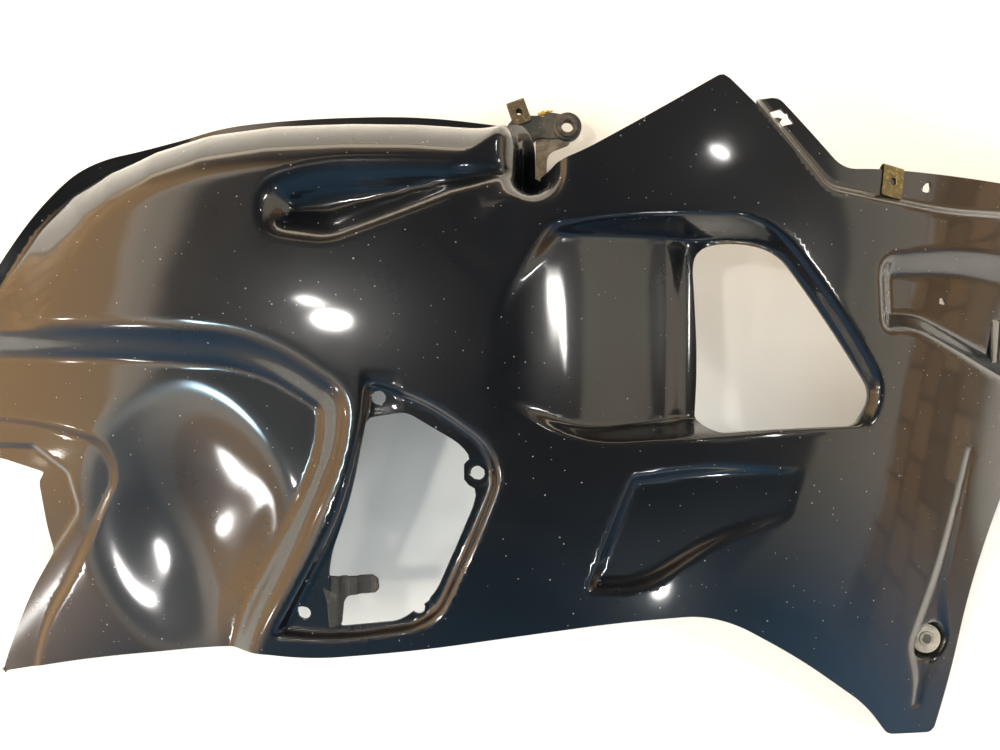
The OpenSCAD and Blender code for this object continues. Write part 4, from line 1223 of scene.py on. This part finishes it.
class FAIRING_OT_stage(bpy.types.Operator):
    """Set the pale floor, the soft lamps, the room that the gloss reflects, and the camera"""
    bl_idname = "fairing.stage"
    bl_label = "Stage"

    def execute(self, context):
        look = context.scene.fairing_look
        scene = context.scene
        rim = np.pad(circle((0, 0), FLOOR_WIDTH), [(0, 0), (0, 1)])
        floor = new_object("floor", rim, [list(range(len(rim)))], floor_material(look))

        camera = bpy.data.cameras.new("camera")
        camera.sensor_width = 36
        camera.lens = camera.sensor_width / 2 / np.tan(np.radians(VIEW_ANGLE / 2))
        camera.clip_start = 0.01
        holder = bpy.data.objects.new("camera", camera)
        holder.location = to_row((0, 0, CAMERA_HEIGHT))
        scene.collection.objects.link(holder)
        scene.camera = holder
        scene.view_settings.view_transform = "Standard"
        self.room(scene)
        for name, at, wide, high, radiance, colour in FILLS:
            self.lamp(name, at, wide, high, radiance, colour, glossy=False)
        for name, shown_at, angle, azimuth, wide, high, radiance, colour in LAMPS:
            a, b = np.radians(angle), np.radians(azimuth)
            way = np.array([np.sin(a) * np.cos(b), np.sin(a) * np.sin(b), np.cos(a)])
            self.lamp(name, to_row(shown_at) + LAMP_DISTANCE * way, wide, high, radiance, colour)
        return {"FINISHED"}

    def lamp(self, name, at, wide, high, radiance, colour=(1, 1, 1), glossy=True):
        """Area lamp at a place, turned to the panel; its power is its radiance times pi times its area."""
        data = bpy.data.lights.new(name, "AREA")
        data.shape = "ELLIPSE" if glossy else "RECTANGLE"
        data.size, data.size_y, data.color = wide, high, colour
        data.energy = radiance * np.pi * wide * high
        obj = bpy.data.objects.new(name, data)
        obj.location = at
        obj.rotation_euler = (-Vector(at)).to_track_quat("-Z", "Y").to_euler()
        obj.visible_camera = False
        obj.visible_glossy = glossy
        if glossy:
            self.fade(obj, wide, high)
        bpy.context.scene.collection.objects.link(obj)

    def fade(self, obj, wide, high):
        """Fades a lamp unevenly towards its rim: its strength is 3 (1 - r^2)^2 times a noise of about 1,
        where r is 0 at its middle and 1 at its rim."""
        box = Lampbox(obj.data)
        turn = obj.rotation_euler.to_matrix()
        offset = box.add("ShaderNodeVectorMath", operation="SUBTRACT")
        box.put(offset, 0, box.place)
        box.put(offset, 1, tuple(obj.location))
        squares = []
        for axis, half in ((turn.col[0], wide / 2), (turn.col[1], high / 2)):
            along = box.add("ShaderNodeVectorMath", operation="DOT_PRODUCT")
            box.put(along, 0, offset.outputs[0])
            box.put(along, 1, tuple(axis / half))
            squares.append(box.math("MULTIPLY", along.outputs["Value"], along.outputs["Value"]))
        inside = box.math("MAXIMUM", box.math("SUBTRACT", 1.0, box.math("ADD", *squares)), 0.0)
        patchy = box.span(box.noise(25, 3), 0.35, 0.65, 1.5, 4.5)
        box.put(box.glow, "Strength", box.math("MULTIPLY", box.math("MULTIPLY", inside, inside), patchy))

    def room(self, scene):
        """World: by height above the horizon, brown walls, a pale band above them and a dark ceiling, each
        side with its own heights; towards the near side the ceiling turns deep blue."""
        box = Roombox("room", ROOM_STRENGTH)
        scene.world = box.world
        split = box.add("ShaderNodeSeparateXYZ")
        box.put(split, 0, box.place)
        x, y, z = (split.outputs[k] for k in ("X", "Y", "Z"))
        ragged = box.math("ADD", z, box.span(box.noise(2.2, 3), 0.3, 0.7, -0.03, 0.03))
        left = box.ramp(ragged, LEFT_WALLS)
        right = box.ramp(ragged, RIGHT_WALLS)
        near = box.ramp(ragged, NEAR_WALLS)
        far = box.ramp(z, FAR_WALLS)
        around = box.add("ShaderNodeMath", operation="ARCTAN2")
        box.put(around, 0, y)
        box.put(around, 1, x)
        flat = box.add("ShaderNodeCombineXYZ")
        box.put(flat, 0, around.outputs[0])
        box.put(flat, 1, z)
        shelf = box.add("ShaderNodeTexBrick")
        box.put(shelf, "Vector", flat.outputs[0])
        for key, value in SHELVES.items():
            box.put(shelf, key, value)
        low = box.span(z, 0.345, 0.33)
        right = box.mix(low, right, box.tinted(right, shelf.outputs["Color"]))
        left = box.mix(box.math("MULTIPLY", low, 0.5), left, box.tinted(left, shelf.outputs["Color"]))
        sides = box.mix(box.span(x, -0.2, 0.2), left, right)
        sides = box.mix(box.span(y, 0.55, 0.80), sides, far)
        walls = box.mix(box.span(y, -0.30, -0.62), sides, near)
        seen = box.add("ShaderNodeLightPath").outputs["Is Camera Ray"]
        box.put(box.back, "Color", box.mix(seen, walls, tuple(c / ROOM_STRENGTH for c in BACKDROP)))


class FAIRING_PT_sidebar(bpy.types.Panel):
    """The sizes, the colours and one button for each step"""
    bl_label = "Side fairing"
    bl_idname = "FAIRING_PT_sidebar"
    bl_space_type = "VIEW_3D"
    bl_region_type = "UI"
    bl_category = "Fairing"

    def draw(self, context):
        for group in (context.scene.fairing_form, context.scene.fairing_look):
            for key in group.__annotations__:
                self.layout.prop(group, key)
        for step in STEPS:
            self.layout.operator(step.bl_idname)


STEPS = (FAIRING_OT_panel, FAIRING_OT_lug, FAIRING_OT_clip_nuts, FAIRING_OT_bracket, FAIRING_OT_mount,
         FAIRING_OT_pocket_fittings, FAIRING_OT_stage)
CLASSES = (FairingForm, FairingLook, *STEPS, FAIRING_PT_sidebar)


def register():
    for item in CLASSES:
        bpy.utils.register_class(item)
    bpy.types.Scene.fairing_form = PointerProperty(type=FairingForm)
    bpy.types.Scene.fairing_look = PointerProperty(type=FairingLook)


def unregister():
    del bpy.types.Scene.fairing_form
    del bpy.types.Scene.fairing_look
    for item in reversed(CLASSES):
        bpy.utils.unregister_class(item)


def main():
    register()
    for step in STEPS:
        group, name = step.bl_idname.split(".")
        getattr(getattr(bpy.ops, group), name)()


if __name__ == "__main__":
    main()
